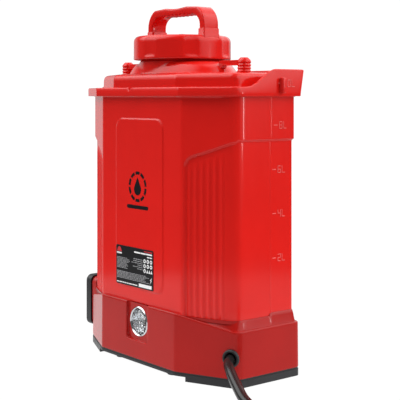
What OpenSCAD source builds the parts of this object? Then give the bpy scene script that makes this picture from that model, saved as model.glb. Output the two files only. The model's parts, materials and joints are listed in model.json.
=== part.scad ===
// Battery backpack sprayer: a moulded 10 litre tank on a base that holds the battery and
// the pump. X runs across the wearer's back, the front face looks to -Y, the straps are on
// the +Y side and Z is up. The origin is on the floor under the middle of the base.

/* [Base] */
// Width of the base across its sides
base_w = 338; // [330:1:346]
// Depth of the base from front to back, without the tail behind the tank
base_d = 142; // [140:1:146]
// Width of the base's flat front
base_front_w = 170; // [160:1:180]
// How far back each front corner is cut
base_cut = 37; // [34:1:40]
// Height of the base at the front
front_h = 87; // [86:0.5:89]
// Height of the base at the sides
side_h = 71.5; // [70:0.5:73]
// Thickness of the base's walls
base_wall = 3; // [2.5:0.1:3.2]
// Height of the bottom plate's upper face
plate_top = 9; // [8.5:0.5:9.5]

/* [Tank] */
// Width of the tank across its upper band
tank_w = 330; // [326:1:332]
// Front face of the tank, as a distance from the middle
tank_front = 65; // [64:0.5:66]
// Back face of the tank, as a distance from the middle
tank_back = 70; // [68:0.5:70.5]
// Width of the tank's flat front
tank_front_w = 184; // [180:1:188]
// Height of the rim's underside
rim_z = 369; // [366:0.5:372]
// Height of the rim along the front
rim_low = 381; // [379:0.5:383]
// Height of the rim along the back
rim_high = 404.5; // [402:0.5:406]
// Height of the deck around the filler neck
deck_z = 400; // [398:0.5:402]
// Outer radius of the filler neck
neck_r = 58.5; // [57:0.5:59]
// Distance from the middle back to the filler neck's axis
neck_y = 8; // [6:0.5:9]

/* [Cap] */
// Outer radius of the cap
cap_r = 68.5; // [68:0.5:70]
// Height of the cap's skirt and top together
cap_h = 33; // [32:0.5:34]
// Number of shallow flutes around the cap
flutes = 7; // [6:1:10]
// Height of the handle above the cap
handle_h = 42; // [38:0.5:44]
// Width of the handle's band
handle_w = 26; // [22:0.5:28]

/* [Hose] */
// Outer diameter of the spray hose
hose_d = 13; // [12:0.5:13]
// Number of turns in the stored coil
coil_turns = 2.18; // [1.9:0.01:2.2]

/* [Controls] */
// How far the control panel stands out from the base's side
pod_out = 25; // [24:0.5:28]
// Diameter of the speed knob
knob_d = 22; // [18:0.5:24]

/* [Hidden] */

$fn = 64;
red = "#d3231b";
dark_red = "#b3261e";
black = "#1c1c1e";
corner_n = 6;            // facets along each rounded corner
base_tail = 5;           // how far the base stands out further behind the tank
seat_z = 82;             // where the tank stands in the base
foot_z = 84;             // top of the base's shoulder at the sides
floor_z = 98;            // inside floor of the tank
band_step = 3;           // how far the lower sides are set in from the upper band
neck_top = 444;
cap_z = 420;
cap_top = cap_z + cap_h;
flute_turn = -27;        // direction of the first flute
boss_h = 9;              // moulded feet on the cap that hold the handle
step_side_z = 312;
panel_raise = 1.2;       // how far the front's flat panel stands out
lamp_z = 61;
lamp_r = 19;
bracket_x = [38, 110];    // screws of each strap bracket
bracket_z = 350;
pod_y0 = -29;
pod_y1 = 53;
pod_z0 = 20;
pod_z1 = 96;
pod_boss = 11;
wire_y = [-14.4, 38];     // room between the panel's screw posts for switches and wires
side_x = base_w/2;
panel_x = side_x + pod_out;          // outer edge of the control panel, on the left side
face_x = panel_x - 4;                // sunk face that carries the controls

front_y = -base_d/2;
back_y = base_d/2 + base_tail;
cut_len = norm([side_x - base_front_w/2, base_cut]);
cut_n = [base_cut, base_front_w/2 - side_x]/cut_len;   // outward normal of the right front cut
exit_xy = [160.5, -37.7];
exit_z = 38;

// ---- outlines -------------------------------------------------------------------------

function unit(v) = v/norm(v);
function left_of(v) = [-v[1], v[0]];
function meet(p, u, q, v) = p + u*cross(q - p, v)/cross(u, v);

// A closed outline moved inwards by t on every side.
function inset(pts, t) = let(n = len(pts)) [for (i = [0:n - 1])
  let(b = pts[i], u = unit(b - pts[(i + n - 1)%n]), v = unit(pts[(i + 1)%n] - b))
  meet(b + left_of(u)*t, u, b + left_of(v)*t, v)];

function corner(a, b, c, r, n) =
  let(u = unit(a - b), v = unit(c - b), half = acos(u*v)/2,
      m = b + unit(u + v)*r/sin(half), p = b + u*r/tan(half), q = b + v*r/tan(half),
      a0 = atan2(p[1] - m[1], p[0] - m[0]), a1 = atan2(q[1] - m[1], q[0] - m[0]),
      turn = a1 - a0 < -180 ? a1 - a0 + 360 : a1 - a0 > 180 ? a1 - a0 - 360 : a1 - a0)
  [for (k = [0:n]) m + r*[cos(a0 + turn*k/n), sin(a0 + turn*k/n)]];

// An outline with a radius at each corner.
function rounded(pts, radii, n = corner_n) = let(m = len(pts)) [for (i = [0:m - 1])
  each corner(pts[(i + m - 1)%m], pts[i], pts[(i + 1)%m], radii[i], n)];

function six(front_half, front, side, cut, back) =
  [[-front_half, front], [front_half, front], [side, front + cut],
   [side, back], [-side, back], [-side, front + cut]];

function at_z(pts, z) = [for (p = pts) [p[0], p[1], z]];

base_plan = six(base_front_w/2, front_y, side_x, base_cut, back_y);
base_radii = [12, 12, 17, 8, 8, 17];
tank_plan = six(tank_front_w/2, -tank_front, tank_w/2, 32, tank_back);
tank_radii = [12, 12, 20, 5, 5, 20];
rim_plan = six(tank_front_w/2 + 4, -tank_front - 8.5, tank_w/2 + 8, 34, 78);
shoulder_plan = six(72, -60, 155, 36, 68);
foot_plan = six(91, -tank_front - 0.4, tank_w/2 - band_step + 0.3, 31, tank_back - band_step + 0.3);

// Height of the base's wall: high across the front, lower along the sides and back.
function wall_top(p) =
  side_h + (front_h - side_h)*(1 - min(1, max(0, (p[1] - front_y - 1)/(base_cut - 2))));

// A closed shell through rings of points, each ring counter-clockwise seen from its end.
module loft(rings) {
  n = len(rings[0]);
  m = len(rings);
  polyhedron(
    points = [for (r = rings) each r],
    faces = concat([[for (i = [0:n - 1]) i]], [[for (i = [n - 1:-1:0]) (m - 1)*n + i]],
      [for (j = [0:m - 2], i = [0:n - 1], half = [0, 1]) let(k = (i + 1)%n)
        half == 0 ? [j*n + i, (j + 1)*n + i, (j + 1)*n + k]
                  : [j*n + i, (j + 1)*n + k, j*n + k]]));
}

// A section carried along a path, its second axis kept as near to up as it can be.
module sweep(path, section, up = [0, 0, 1]) {
  n = len(path);
  loft([for (i = [0:n - 1])
    let(t = unit(path[min(i + 1, n - 1)] - path[max(i - 1, 0)]),
        s = unit(cross(up, t)), w = cross(t, s))
    [for (q = section) path[i] + s*q[0] + w*q[1]]]);
}

function ngon(r, n) = [for (i = [0:n - 1]) r*[cos(360*i/n), sin(360*i/n)]];
function slab(w, h) = [[-w/2, -h/2], [w/2, -h/2], [w/2, h/2], [-w/2, h/2]];

// A smooth curve through chosen points, each stretch in k steps.
function curve(p, k) = let(n = len(p)) concat([for (i = [0:n - 2], j = [0:k - 1])
  let(a = i > 0 ? p[i - 1] : 2*p[0] - p[1], b = p[i], c = p[i + 1],
      d = i + 2 < n ? p[i + 2] : 2*p[n - 1] - p[n - 2], t = j/k)
  0.5*(2*b + (c - a)*t + (2*a - 5*b + 4*c - d)*t*t + (3*b - a - 3*c + d)*t*t*t)], [p[n - 1]]);

module prism(pts, z0, z1) { translate([0, 0, z0]) linear_extrude(z1 - z0) polygon(pts); }

module both_sides() {
  children();
  mirror([1, 0, 0]) children();
}

module box(lo, hi) { translate(lo) cube(hi - lo); }

module round_box(lo, hi, r) {
  translate([0, 0, lo[2]]) linear_extrude(hi[2] - lo[2])
    polygon(rounded([[lo[0], lo[1]], [hi[0], lo[1]], [hi[0], hi[1]], [lo[0], hi[1]]], [r, r, r, r], 4));
}

// A plate in a plane across X, rounded at its corners, from x0 to x1.
module side_plate(x0, x1, y0, y1, z0, z1, r) {
  translate([x0, 0, 0]) rotate([90, 0, 90]) linear_extrude(x1 - x0)
    polygon(rounded([[y0, z0], [y1, z0], [y1, z1], [y0, z1]], [r, r, r, r], 4));
}

// A plate in a plane across Y, rounded at its corners, from y0 to y1.
module face_plate(y0, y1, x0, x1, z0, z1, r) {
  translate([0, y1, 0]) rotate([90, 0, 0]) linear_extrude(y1 - y0)
    polygon(rounded([[x0, z0], [x1, z0], [x1, z1], [x0, z1]], [r, r, r, r], 4));
}

module along_y(x, y0, z, r, len) { translate([x, y0, z]) rotate([-90, 0, 0]) cylinder(r = r, h = len); }
module along_x(x0, y, z, r, len) { translate([x0, y, z]) rotate([0, 90, 0]) cylinder(r = r, h = len); }
module ring(r, bore, z0, z1) {
  translate([0, 0, z0]) difference() {
    cylinder(r = r, h = z1 - z0);
    translate([0, 0, -1]) cylinder(r = bore, h = z1 - z0 + 2);
  }
}

// Turns a piece so that +Z runs out of the hose exit in the right front cut.
module at_exit() {
  translate([exit_xy[0], exit_xy[1], exit_z]) rotate([0, 90, atan2(cut_n[1], cut_n[0])]) children();
}

// ---- tank -----------------------------------------------------------------------------

// Edge of the upper band, seen from the front: level at the side, falling across the cut
// corner and turning down into the inner edge of the ribbed panel.
band_x = 96;
function band_edge() = concat(
  [[band_x, 60], [band_x, 268]],
  [for (a = [165:-15:105]) [band_x + 16, 276] + 16*[cos(a), sin(a)]],
  [[132, 299.5], [150, 306], [162, 310], [170, step_side_z], [200, step_side_z], [200, 60]]);

// Height of the band's edge at a distance x from the middle.
function edge_z(x) = 292 + (x - band_x - 12)*0.31;

module tank_outside() {
  lower = rounded(inset(tank_plan, band_step), tank_radii);
  upper = rounded(tank_plan, tank_radii);
  loft([at_z(rounded(inset(tank_plan, band_step + 1), tank_radii), seat_z + 0.2),
        at_z(lower, rim_z + 1)]);
  difference() {
    loft([at_z(rounded(inset(tank_plan, 1), tank_radii), seat_z + 0.2), at_z(upper, rim_z + 1)]);
    both_sides() translate([0, 200, 0]) rotate([90, 0, 0]) linear_extrude(400) polygon(band_edge());
    box([-100, 40, 60], [100, 100, step_side_z]);
  }
}

// The six upright ribs on each cut corner.
module corner_ribs() {
  for (i = [0:5]) {
    x = 102 + i*8.6;
    y = -tank_front + 32/73*(x - tank_front_w/2) + band_step*1.09 + 2.6;
    translate([x, y, 100]) cylinder(r = 4, h = edge_z(x) - 112);
  }
}

// The rim: a low tray along the front that rises in a curve to a high wall at the back.
module rim() {
  outer = rounded(rim_plan, [10, 10, 16, 5, 5, 16]);
  prism(outer, rim_z, 374);
  difference() {
    prism(outer, 373, rim_high);
    prism(rounded(inset(rim_plan, 4), [8, 8, 14, 4, 4, 14]), 372, rim_high + 1);
    translate([-250, 0, 0]) rotate([90, 0, 90]) linear_extrude(500) polygon(concat(
      [[-100, rim_low]],
      [for (k = [0:12]) [-21 + 51*k/12, rim_low + (rim_high - rim_low)*(1 - cos(180*k/12))/2]],
      [[30, rim_high + 5], [-100, rim_high + 5]]));
  }
  both_sides() box([rim_plan[2][0] - 0.5, 34, 373], [rim_plan[2][0] + 7, 40, 393]);
}

module collar() {
  translate([0, neck_y, 0]) {
    scale([1, 0.64, 1]) rotate_extrude() polygon([[0, deck_z - 1], [95, deck_z - 1],
      [93, 404], [88, 409], [82, 413], [75, 416], [0, 416]]);
    cylinder(r = neck_r + 1.5, h = 417);
  }
}

module hollow_tank() {
  difference() {
    union() {
      tank_outside();
      both_sides() corner_ribs();
      face_plate(-tank_front - panel_raise, -tank_front + 1, -57, 53, 105, 338, 15);
      rim();
      loft([at_z(rounded(shoulder_plan, [8, 8, 14, 8, 8, 14]), 373),
            at_z(rounded(shoulder_plan, [8, 8, 14, 8, 8, 14]), deck_z - 4),
            at_z(rounded(inset(shoulder_plan, 1.4), [8, 8, 14, 8, 8, 14]), deck_z - 1),
            at_z(rounded(inset(shoulder_plan, 4), [6, 6, 12, 6, 6, 12]), deck_z)]);
      intersection() {
        collar();
        translate([0, 0, 390]) linear_extrude(30) polygon(inset(shoulder_plan, 2));
      }
      translate([0, neck_y, 0]) {
        translate([0, 0, 410]) cylinder(r = neck_r, h = neck_top - 410);
        for (z = [428, 435]) ring(neck_r + 3, neck_r - 2, z, z + 2.4);
      }
      both_sides() for (z = [157.8, 215.6, 273.4])
        box([tank_w/2 - band_step - 2, 31, z - 1], [tank_w/2 - band_step + 0.6, 38, z + 1]);
      both_sides() box([tank_w/2 - 2, 31, 330.5], [tank_w/2 + 0.6, 38, 332.5]);
    }
    inside = inset(tank_plan, band_step + 3.2);
    loft([at_z(rounded(inset(inside, 1), tank_radii), floor_z), at_z(rounded(inside, tank_radii), 370)]);
    prism(rounded(inset(shoulder_plan, 3), [5, 5, 11, 5, 5, 11]), 369, deck_z - 3);
    prism(rounded(inset(inside, 2), tank_radii), seat_z - 1, floor_z - 3.2);
    translate([0, neck_y, 374]) cylinder(r = neck_r - 4, h = 86);
    translate([62, 45, 60]) cylinder(r = 8.1, h = 50);
  }
}

// The solid lugs inside the back wall take the strap brackets' screws.
module tank() {
  color(red) difference() {
    union() {
      hollow_tank();
      both_sides() for (x = bracket_x) along_y(x, tank_back - 12, bracket_z, 5, 10);
    }
    both_sides() for (x = bracket_x) along_y(x, tank_back - 10, bracket_z, 1.6, 20);
  }
}

module tank_outlet() {
  color(black) translate([62, 45, 0]) difference() {
    union() {
      translate([0, 0, 94.8 - 14]) cylinder(r = 8, h = 20);
      translate([0, 0, floor_z]) cylinder(r = 13, h = 3.5);
      translate([0, 0, 87]) cylinder(r = 12, h = 5.6, $fn = 6);
      translate([0, 0, 60]) cylinder(r = 5, h = 22);
      for (z = [62, 66, 70]) translate([0, 0, z]) cylinder(r1 = 5, r2 = 5.6, h = 2.4);
    }
    translate([0, 0, 50]) cylinder(r = 3.2, h = 70);
  }
}

module outlet_washer() {
  color("#303030") translate([62, 45, 0]) ring(11.5, 8, 92.6, 94.8);
}

module strainer_basket() {
  color("#202022") translate([0, neck_y, 0]) difference() {
    union() {
      translate([0, 0, 376]) cylinder(r = 50, h = 70);
      translate([0, 0, neck_top]) cylinder(r = 57, h = 2);
    }
    translate([0, 0, 378]) cylinder(r = 48.4, h = 80);
    for (a = [0:30:330]) rotate([0, 0, a]) for (z = [386, 408])
      translate([49.1, -7, z]) cube([5, 14, 18]);
    for (a = [0:60:300]) rotate([0, 0, a]) translate([22, -10, 370]) cube([20, 20, 6.9]);
  }
}

module label_plate() {
  color(black) translate([0, -tank_front - panel_raise, 0]) face_plate(-0.6, 0, -55, 33, 107, 161, 2);
}

// A bar from the neck's collar out to a ribbed post that stands on the deck.
module lance_hanger(side) {
  scale([side, 1, 1]) {
    box([86, neck_y - 4.5, 410], [128, neck_y + 4.5, 417]);
    box([86, neck_y - 4.5, 407], [92, neck_y + 4.5, 410]);
    translate([133, neck_y, 0]) rotate_extrude() polygon([[0, deck_z], [8.5, deck_z],
      [9.3, 402], [8.1, 404], [9.3, 406], [8.1, 408], [9.3, 410], [8.1, 412], [9.3, 414],
      [8.4, 416.5], [5, 420], [0, 420]]);
  }
}
module lance_hanger_left() { color(red) lance_hanger(-1); }
module lance_hanger_right() { color(red) lance_hanger(1); }

// ---- cap ------------------------------------------------------------------------------

module cap() {
  color(red) translate([0, neck_y, 0]) difference() {
    union() {
      rotate_extrude() polygon(concat([[0, cap_z], [cap_r - 0.6, cap_z], [cap_r, cap_z + 1]],
        [for (a = [0:15:90]) [cap_r - 6, cap_top - 6] + 6*[cos(a), sin(a)]], [[0, cap_top]]));
      for (s = [-1, 1]) translate([s*53.5, 0, cap_top])
        round_box([-7.5, -14.5, -1], [7.5, 14.5, boss_h], 2);
    }
    translate([0, 0, cap_z - 1]) cylinder(r = cap_r - 4.5, h = cap_h - 3.4);
    cylinder(r = 3.05, h = 500);
    for (k = [0:flutes - 1]) rotate([0, 0, flute_turn + 360*k/flutes])
      translate([cap_r + 38.8, 0, cap_z + 4]) cylinder(r = 40, h = cap_h - 9);
    for (s = [-1, 1]) box([s*53.5 - 5, -10.5, cap_top + boss_h - 5], [s*53.5 + 5, 10.5, 480]);
  }
}

// Outline of the handle across its width: two rounded shoulders with a dip between them.
function handle_top(x) = cap_top + handle_h - 4 + 4*pow(sin(min(90, max(0, abs(x)*2.7))), 2);
function handle_outer() = concat([[59.5, cap_top + boss_h], [59.5, cap_top + 14]],
  [for (a = [0:9:63]) [36, cap_top + 14] + [23.5*cos(a), (handle_h - 14)*sin(a)]],
  [for (x = [21:-3:-21]) [x, handle_top(x)*0.5 + (cap_top + handle_h)*0.5 - 1]],
  [for (a = [117:9:180]) [-36, cap_top + 14] + [23.5*cos(a), (handle_h - 14)*sin(a)]],
  [[-59.5, cap_top + 14], [-59.5, cap_top + boss_h]]);
function handle_inner() = concat([[-49, cap_top + boss_h], [-48.5, cap_top + 14]],
  [for (a = [180:-15:105]) [-34, cap_top + 14] + [14.5*cos(a), (handle_h - 26)*sin(a)]],
  [for (x = [-27:3:27]) [x, cap_top + handle_h - 12.2 + 0.8*cos(x*40)]],
  [for (a = [75:-15:0]) [34, cap_top + 14] + [14.5*cos(a), (handle_h - 26)*sin(a)]],
  [[48.5, cap_top + 14], [49, cap_top + boss_h]]);

module cap_handle() {
  color(red) translate([0, neck_y, 0]) {
    translate([0, handle_w/2, 0]) rotate([90, 0, 0]) linear_extrude(handle_w)
      polygon(concat(handle_outer(), handle_inner()));
    for (s = [-1, 1]) box([s*54 - 4.4, -10, cap_top + boss_h - 4.6], [s*54 + 4.4, 10, cap_top + boss_h + 1]);
  }
}

module cap_gasket() {
  color("#2a2a2a") translate([0, neck_y, 0]) ring(62, 51.5, neck_top + 2.2, cap_z + cap_h - 4.4);
}

module vent_valve() {
  color(black) translate([0, neck_y, 0]) rotate_extrude() polygon([[0, cap_top - 7], [4.5, cap_top - 7],
    [4.5, cap_top - 4.7], [2.9, cap_top - 4.7], [2.9, cap_top + 0.1], [6.5, cap_top + 0.1],
    [6.5, cap_top + 2.4], [5, cap_top + 3.6], [0, cap_top + 4]]);
}

// ---- base -----------------------------------------------------------------------------

module base_housing() {
  foot = rounded(foot_plan, tank_radii);
  pocket = rounded(inset(foot_plan, -0.1), tank_radii);
  color(dark_red) difference() {
    union() {
      difference() {
        loft([at_z(rounded(base_plan, base_radii), plate_top),
          [for (p = rounded(base_plan, base_radii)) [p[0], p[1], wall_top(p) - 3]],
          [for (p = rounded(inset(base_plan, 0.4), base_radii)) [p[0], p[1], wall_top(p) - 1]],
          [for (p = rounded(inset(base_plan, 1.2), base_radii)) [p[0], p[1], wall_top(p)]],
          [for (p = pocket) [p[0], p[1], max(foot_z, wall_top(p) + 0.3)]],
          [for (p = foot) [p[0], p[1], max(foot_z, wall_top(p) + 0.3) - 0.2]],
          at_z(foot, seat_z)]);
        loft([at_z(rounded(inset(base_plan, base_wall), base_radii), plate_top - 1),
          at_z(rounded(inset(base_plan, base_wall), base_radii), 66),
          at_z(rounded(inset(base_plan, 10.5), base_radii), 79)]);
      }
      lamp_box();
      side_plate(-side_x - pod_boss, -side_x + 1, pod_y0 + 2, pod_y1 - 2, pod_z0 + 2, pod_z1 - 2, 8);
      intersection() {
        at_exit() translate([0, 0, -9]) cylinder(r = 11.5, h = 10);
        prism(inset(base_plan, -3), 10, 70);
      }
      intersection() {
        screw_posts();
        prism(inset(base_plan, base_wall - 1), plate_top, 80);
      }
      for (p = panel_holes()) along_x(-face_x + 3.1, p[0], p[1], 4, 10);
    }
    face_plate(front_y - 3, front_y + 6, -24, 24, 36, 120, 4);
    along_y(0, front_y, lamp_z, lamp_r + 0.2, 12);
    at_exit() translate([0, 0, -12]) cylinder(r = 9, h = 20);
    side_plate(-side_x - pod_boss - 1, -side_x + 5, wire_y[0], wire_y[1], pod_z0 + 6, 64, 5);
    side_plate(-side_x - pod_boss - 1, -side_x - 3, wire_y[0], wire_y[1], 60, pod_z1 - 6, 5);
    for (p = panel_holes()) along_x(-face_x, p[0], p[1], 1.6, 15);
    translate([62, 45, 70]) cylinder(r = 14, h = 20);
    for (p = posts()) translate([p[0], p[1], 0]) cylinder(r = 1.7, h = 34);
  }
}

// Pocket in the front wall that holds the lamp.
module lamp_box() { box([-27, front_y + 2, 33], [27, front_y + 9, 80]); }

function posts() = [[-140, -30], [140, -26], [-70, -62], [70, -62], [-150, 60], [150, 62],
  [-70, 62], [70, 62]];
module screw_posts() { for (p = posts()) translate([p[0], p[1], plate_top]) cylinder(r = 5, h = 71); }

// The plate has a raised edge under the front and two skids that reach the floor.
module bottom_plate() {
  color(black) difference() {
    union() {
      prism(rounded(base_plan, base_radii), 6, plate_top);
      intersection() {
        difference() {
          prism(rounded(base_plan, base_radii), 0, 6.5);
          prism(rounded(inset(base_plan, 16), [4, 4, 6, 2, 2, 6]), -1, 7);
        }
        both_sides() box([100, -100, -1], [200, 100, 8]);
      }
    }
    for (p = posts()) translate([p[0], p[1], -1]) {
      cylinder(r = 2.2, h = 20);
      cylinder(r = 4, h = p[0]*p[0] > 10000 ? 5 : 8.4);
    }
    for (x = [-60, 60], y = [-52, 52]) translate([x, y, 0]) cylinder(r = 4.05, h = 20);
  }
}

module rubber_feet() {
  color("#262626") for (x = [-60, 60], y = [-52, 52]) translate([x, y, 0]) {
    cylinder(r = 9, h = 6);
    cylinder(r = 4, h = 9);
  }
  color("#262626") cylinder(r = 16, h = 6);
}

module screw(p, z0, len) {
  translate([p[0], p[1], z0]) {
    cylinder(r = 3.6, h = 2);
    cylinder(r = 1.6, h = len);
  }
}

module base_screws() {
  color("silver") for (p = posts()) screw(p, p[0]*p[0] > 10000 ? 2 : 5.4, 22);
}

module bracket_screws() {
  color("silver") both_sides() for (x = bracket_x) translate([x, tank_back + 4.3, bracket_z])
    rotate([90, 0, 0]) screw([0, 0], 0, 13.5);
}

// ---- lamp -----------------------------------------------------------------------------

module lamp_turned(pts) {
  translate([0, front_y + 6, lamp_z]) rotate([90, 0, 0]) rotate_extrude() polygon(pts);
}

module lamp_bezel() {
  color("#b8babd") lamp_turned([[lamp_r, -3], [lamp_r, 0], [lamp_r + 2, 0], [lamp_r + 2, 1.4],
    [lamp_r - 1, 2.2], [lamp_r - 1.6, 1.2], [lamp_r - 1.6, -3]]);
}
module lamp_reflector() {
  color("#d5d7da") lamp_turned([[4, -14], [5, -14], [lamp_r - 1.8, -2.6], [lamp_r - 1.8, -1],
    [lamp_r - 3, -1], [4, -12.6]]);
}
module lamp_lens() {
  color([0.85, 0.92, 0.98, 0.4]) lamp_turned([[0, -0.8], [lamp_r - 1.8, -0.8],
    [lamp_r - 1.8, 1], [10, 2], [0, 2.4]]);
}
module lamp_board() {
  color("#2f6b3a") translate([0, front_y + 20.2, lamp_z]) rotate([-90, 0, 0]) cylinder(r = 11, h = 1.6);
  color("#f2e9a0") along_y(0, front_y + 18.4, lamp_z, 2.2, 1.8);
}

// ---- controls on the left side ----------------------------------------------------------

rocker_at = [-6, 74];       // each control's place on the panel, along Y and Z
knob_at = [30, 70];
socket_at = [-6, 38];
gauge_at = [30, 38];
button_at = [12, 38];

module control_panel() {
  x0 = -side_x - pod_boss;
  color(black) difference() {
    union() {
      side_plate(-panel_x + 2, x0, pod_y0, pod_y1, pod_z0, pod_z1, 9);
      side_plate(-panel_x, x0, pod_y0 + 1.5, pod_y1 - 1.5, pod_z0 + 1.5, pod_z1 - 1.5, 8);
    }
    side_plate(-panel_x - 1, -face_x, pod_y0 + 6, pod_y1 - 6, pod_z0 + 6, pod_z1 - 6, 6);
    side_plate(-face_x + 3, x0 + 1, pod_y0 + 6, pod_y1 - 6, pod_z0 + 6, pod_z1 - 6, 6);
    side_plate(-200, x0, rocker_at[0] - 7, rocker_at[0] + 7, rocker_at[1] - 11, rocker_at[1] + 11, 1);
    along_x(-200, knob_at[0], knob_at[1], 3.6, 20);
    along_x(-200, socket_at[0], socket_at[1], 8, 20);
    side_plate(-200, x0, gauge_at[0] - 7, gauge_at[0] + 7, gauge_at[1] - 7, gauge_at[1] + 7, 1);
    along_x(-200, button_at[0], button_at[1], 5.2, 20);
    for (p = panel_holes()) along_x(-200, p[0], p[1], 1.7, 30);
  }
}

function panel_holes() = [for (y = [pod_y0 + 12, pod_y1 - 12], z = [pod_z0 + 12, pod_z1 - 12]) [y, z]];

module panel_screws() {
  color("#4a4a4c") for (p = panel_holes()) along_x(-face_x - 1.6, p[0], p[1], 3, 1.6);
  color("#4a4a4c") for (p = panel_holes()) along_x(-face_x - 1.6, p[0], p[1], 1.55, 14);
}

// The rocker turns about its own middle, inside a frame that the panel holds.
module power_rocker() {
  color("#b01818") translate([-face_x, rocker_at[0], rocker_at[1]]) rotate([90, 0, 0]) translate([0, 0, -6])
    linear_extrude(12) polygon([[7, -4], [5, -9], [-1.2, -9.4], [-0.4, 0], [-3.4, 9], [5, 9], [7, 4]]);
  color("#b01818") along_y(-face_x, rocker_at[0] - 6.9, rocker_at[1], 1.5, 13.8);
}

module speed_knob() {
  color(black) difference() {
    union() {
      along_x(-face_x - 9.4, knob_at[0], knob_at[1], knob_d/2, 9);
      for (a = [0:24:336]) translate([-face_x - 8.4, knob_at[0], knob_at[1]]) rotate([a, 0, 0])
        translate([0, -0.8, knob_d/2 - 1]) cube([8, 1.6, 1.7]);
    }
    along_x(-face_x - 7, knob_at[0], knob_at[1], 3.05, 20);
  }
}

module speed_potentiometer() {
  color("#8c8f93") along_x(-face_x - 6.5, knob_at[0], knob_at[1], 3, 11);
  color("#5a6b4f") along_x(-face_x + 3.1, knob_at[0], knob_at[1], 8, 7);
}

module charge_socket() {
  color("#2c2c2e") difference() {
    union() {
      along_x(-face_x - 1, socket_at[0], socket_at[1], 7.8, 16);
      along_x(-face_x - 2, socket_at[0], socket_at[1], 9.4, 2);
    }
    along_x(-face_x - 5, socket_at[0], socket_at[1], 2.8, 14);
  }
}

// Rubber cover over the charging socket, hinged along its upper edge.
module charge_cap() {
  color("#262628") {
    along_x(-face_x - 4.4, socket_at[0], socket_at[1], 9.6, 2.2);
    translate([-face_x - 4.4, socket_at[0], socket_at[1]]) box([0, -3, 8], [2.2, 3, 12]);
    along_y(-face_x - 3.3, socket_at[0] - 3, socket_at[1] + 12, 1.1, 6);
  }
}

module charge_gauge() {
  color("#101418") translate([-face_x, gauge_at[0], gauge_at[1]])
    side_plate(-0.6, 8, -6.8, 6.8, -6.8, 6.8, 1);
}

module lamp_button() {
  color("#3a3a3d") along_x(-face_x - 3.4, button_at[0], button_at[1], 5, 7);
}
module lamp_switch() {
  color("#555a60") translate([-face_x + 7, button_at[0], button_at[1]]) box([0, -6, -6], [6, 4.6, 6]);
}

// ---- inside the base --------------------------------------------------------------------

module battery() {
  color("#3b4652") round_box([-105, -47, plate_top + 1], [46, 47, plate_top + 66], 3);
  color("#3b4652") round_box([-98, -40, plate_top + 66], [39, 40, plate_top + 67.5], 3);
}

module battery_clamp() {
  color("#8a8d90") difference() {
    union() {
      box([-40, -52.5, plate_top], [-20, 52.5, plate_top + 69.3]);
      box([-40, 50, plate_top], [-20, 60, plate_top + 1.5]);
    }
    box([-41, -50.5, plate_top - 1], [-19, 50.5, plate_top + 67.8]);
  }
}

lead_path = [[-105, 20, 60], [-116, 19, 60], [-130, 12, 55], [-146, 3, 46], [-162, -1, 40],
  [-174.9, -1, 38]];
module battery_leads() {
  for (s = [0, 1]) color(s == 0 ? "#a01818" : "#202020")
    sweep([for (p = curve(lead_path, 3)) p - [0, 10*s, 0]], ngon(1.4, 8));
}

pump = [105, 45, 40];       // where the pump head's inlet and outlet line up
module pump_motor() {
  color("#9a9da1") along_y(pump[0], -28, pump[2], 21, 48);
  color("#9a9da1") along_y(pump[0], -31, pump[2], 7, 3);
}

module pump_head() {
  color("#303236") difference() {
    union() {
      round_box([80, 26, 17], [130, 64, 63], 5);
      along_x(70, pump[1], pump[2], 5, 11);
      along_x(129, pump[1], pump[2], 5, 11);
    }
    along_x(69, pump[1], pump[2], 3, 11);
    along_x(131, pump[1], pump[2], 3, 12);
    along_y(pump[0], 25, pump[2], 15, 14);
  }
}

// The motor's shaft with its off-centre drive disc, turning inside the pump head.
module pump_shaft() {
  color("silver") {
    along_y(pump[0], 20.1, pump[2], 3, 8);
    along_y(pump[0] + 2.5, 28, pump[2], 10, 6);
  }
}

module pump_bracket() {
  color("#8a8d90") {
    difference() {
      box([82, 20.2, plate_top], [128, 22.2, 66]);
      along_y(pump[0], 19, pump[2], 8, 5);
    }
    box([82, 20.2, plate_top], [128, 60, plate_top + 2]);
  }
}

module pressure_switch() {
  color("#5b2f2f") along_y(pump[0], 64, pump[2] + 8, 9, 3.5);
}

module suction_hose() {
  color("#7f8a93") translate([62, 45, 0]) {
    ring(8, 5.7, 48, 80);
    translate([8, 0, 48]) rotate([90, 0, 0]) rotate([0, 0, 180])
      rotate_extrude(angle = 90) translate([8, 0]) circle(r = 7.9);
    translate([8, 0, pump[2]]) rotate([0, 90, 0]) ring(7.9, 5, 0, 9.8);
  }
}

feed_path = [[140, 45, 40], [148, 44, 40], [154, 37, 40], [156, 26, 39], [156, 12, 38],
  [154.5, -2, 38], [153.5, -12, 38], [154.5, -22, 38], [158, -32, 38]];
module feed_hose() { color("#2b2b2d") sweep(curve(feed_path, 2), ngon(hose_d/2, 12)); }

// ---- hose, coil and spray handle ----------------------------------------------------------

module hose_grommet() {
  color(black) difference() {
    at_exit() {
      translate([0, 0, -6]) cylinder(r = 8.9, h = 8);
      translate([0, 0, 1.1]) cylinder(r = 10.6, h = 2.6);
    }
    at_exit() translate([0, 0, -20]) cylinder(r = hose_d/2 + 0.1, h = 40);
  }
}

hose_path = [[158, -32, 38], [161.7, -40.2, 36.9], [168.4, -48.8, 35.2], [176.6, -55.5, 33.4],
  [188.4, -62.2, 29.6], [201, -68, 24.5], [216.2, -74.4, 18.4], [233.6, -81, 11.9],
  [256.2, -87, 7.4], [282, -94, 6.5], [315, -105, 6.5], [350, -118, 6.5], [385, -128.5, 6.5],
  [415, -132, 6.5]];
coil_at = [415, -45];
coil_r = 87;                // centreline radius of the outermost turn
coil_pitch = 13.4;
coil_end = coil_turns*360 - 90;
tail_turn = 0.34;           // share of a turn in which the hose climbs to the spray handle
handle_dir = coil_end + 90;
handle_tilt = 9;
inlet_z = 34.3;

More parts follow.
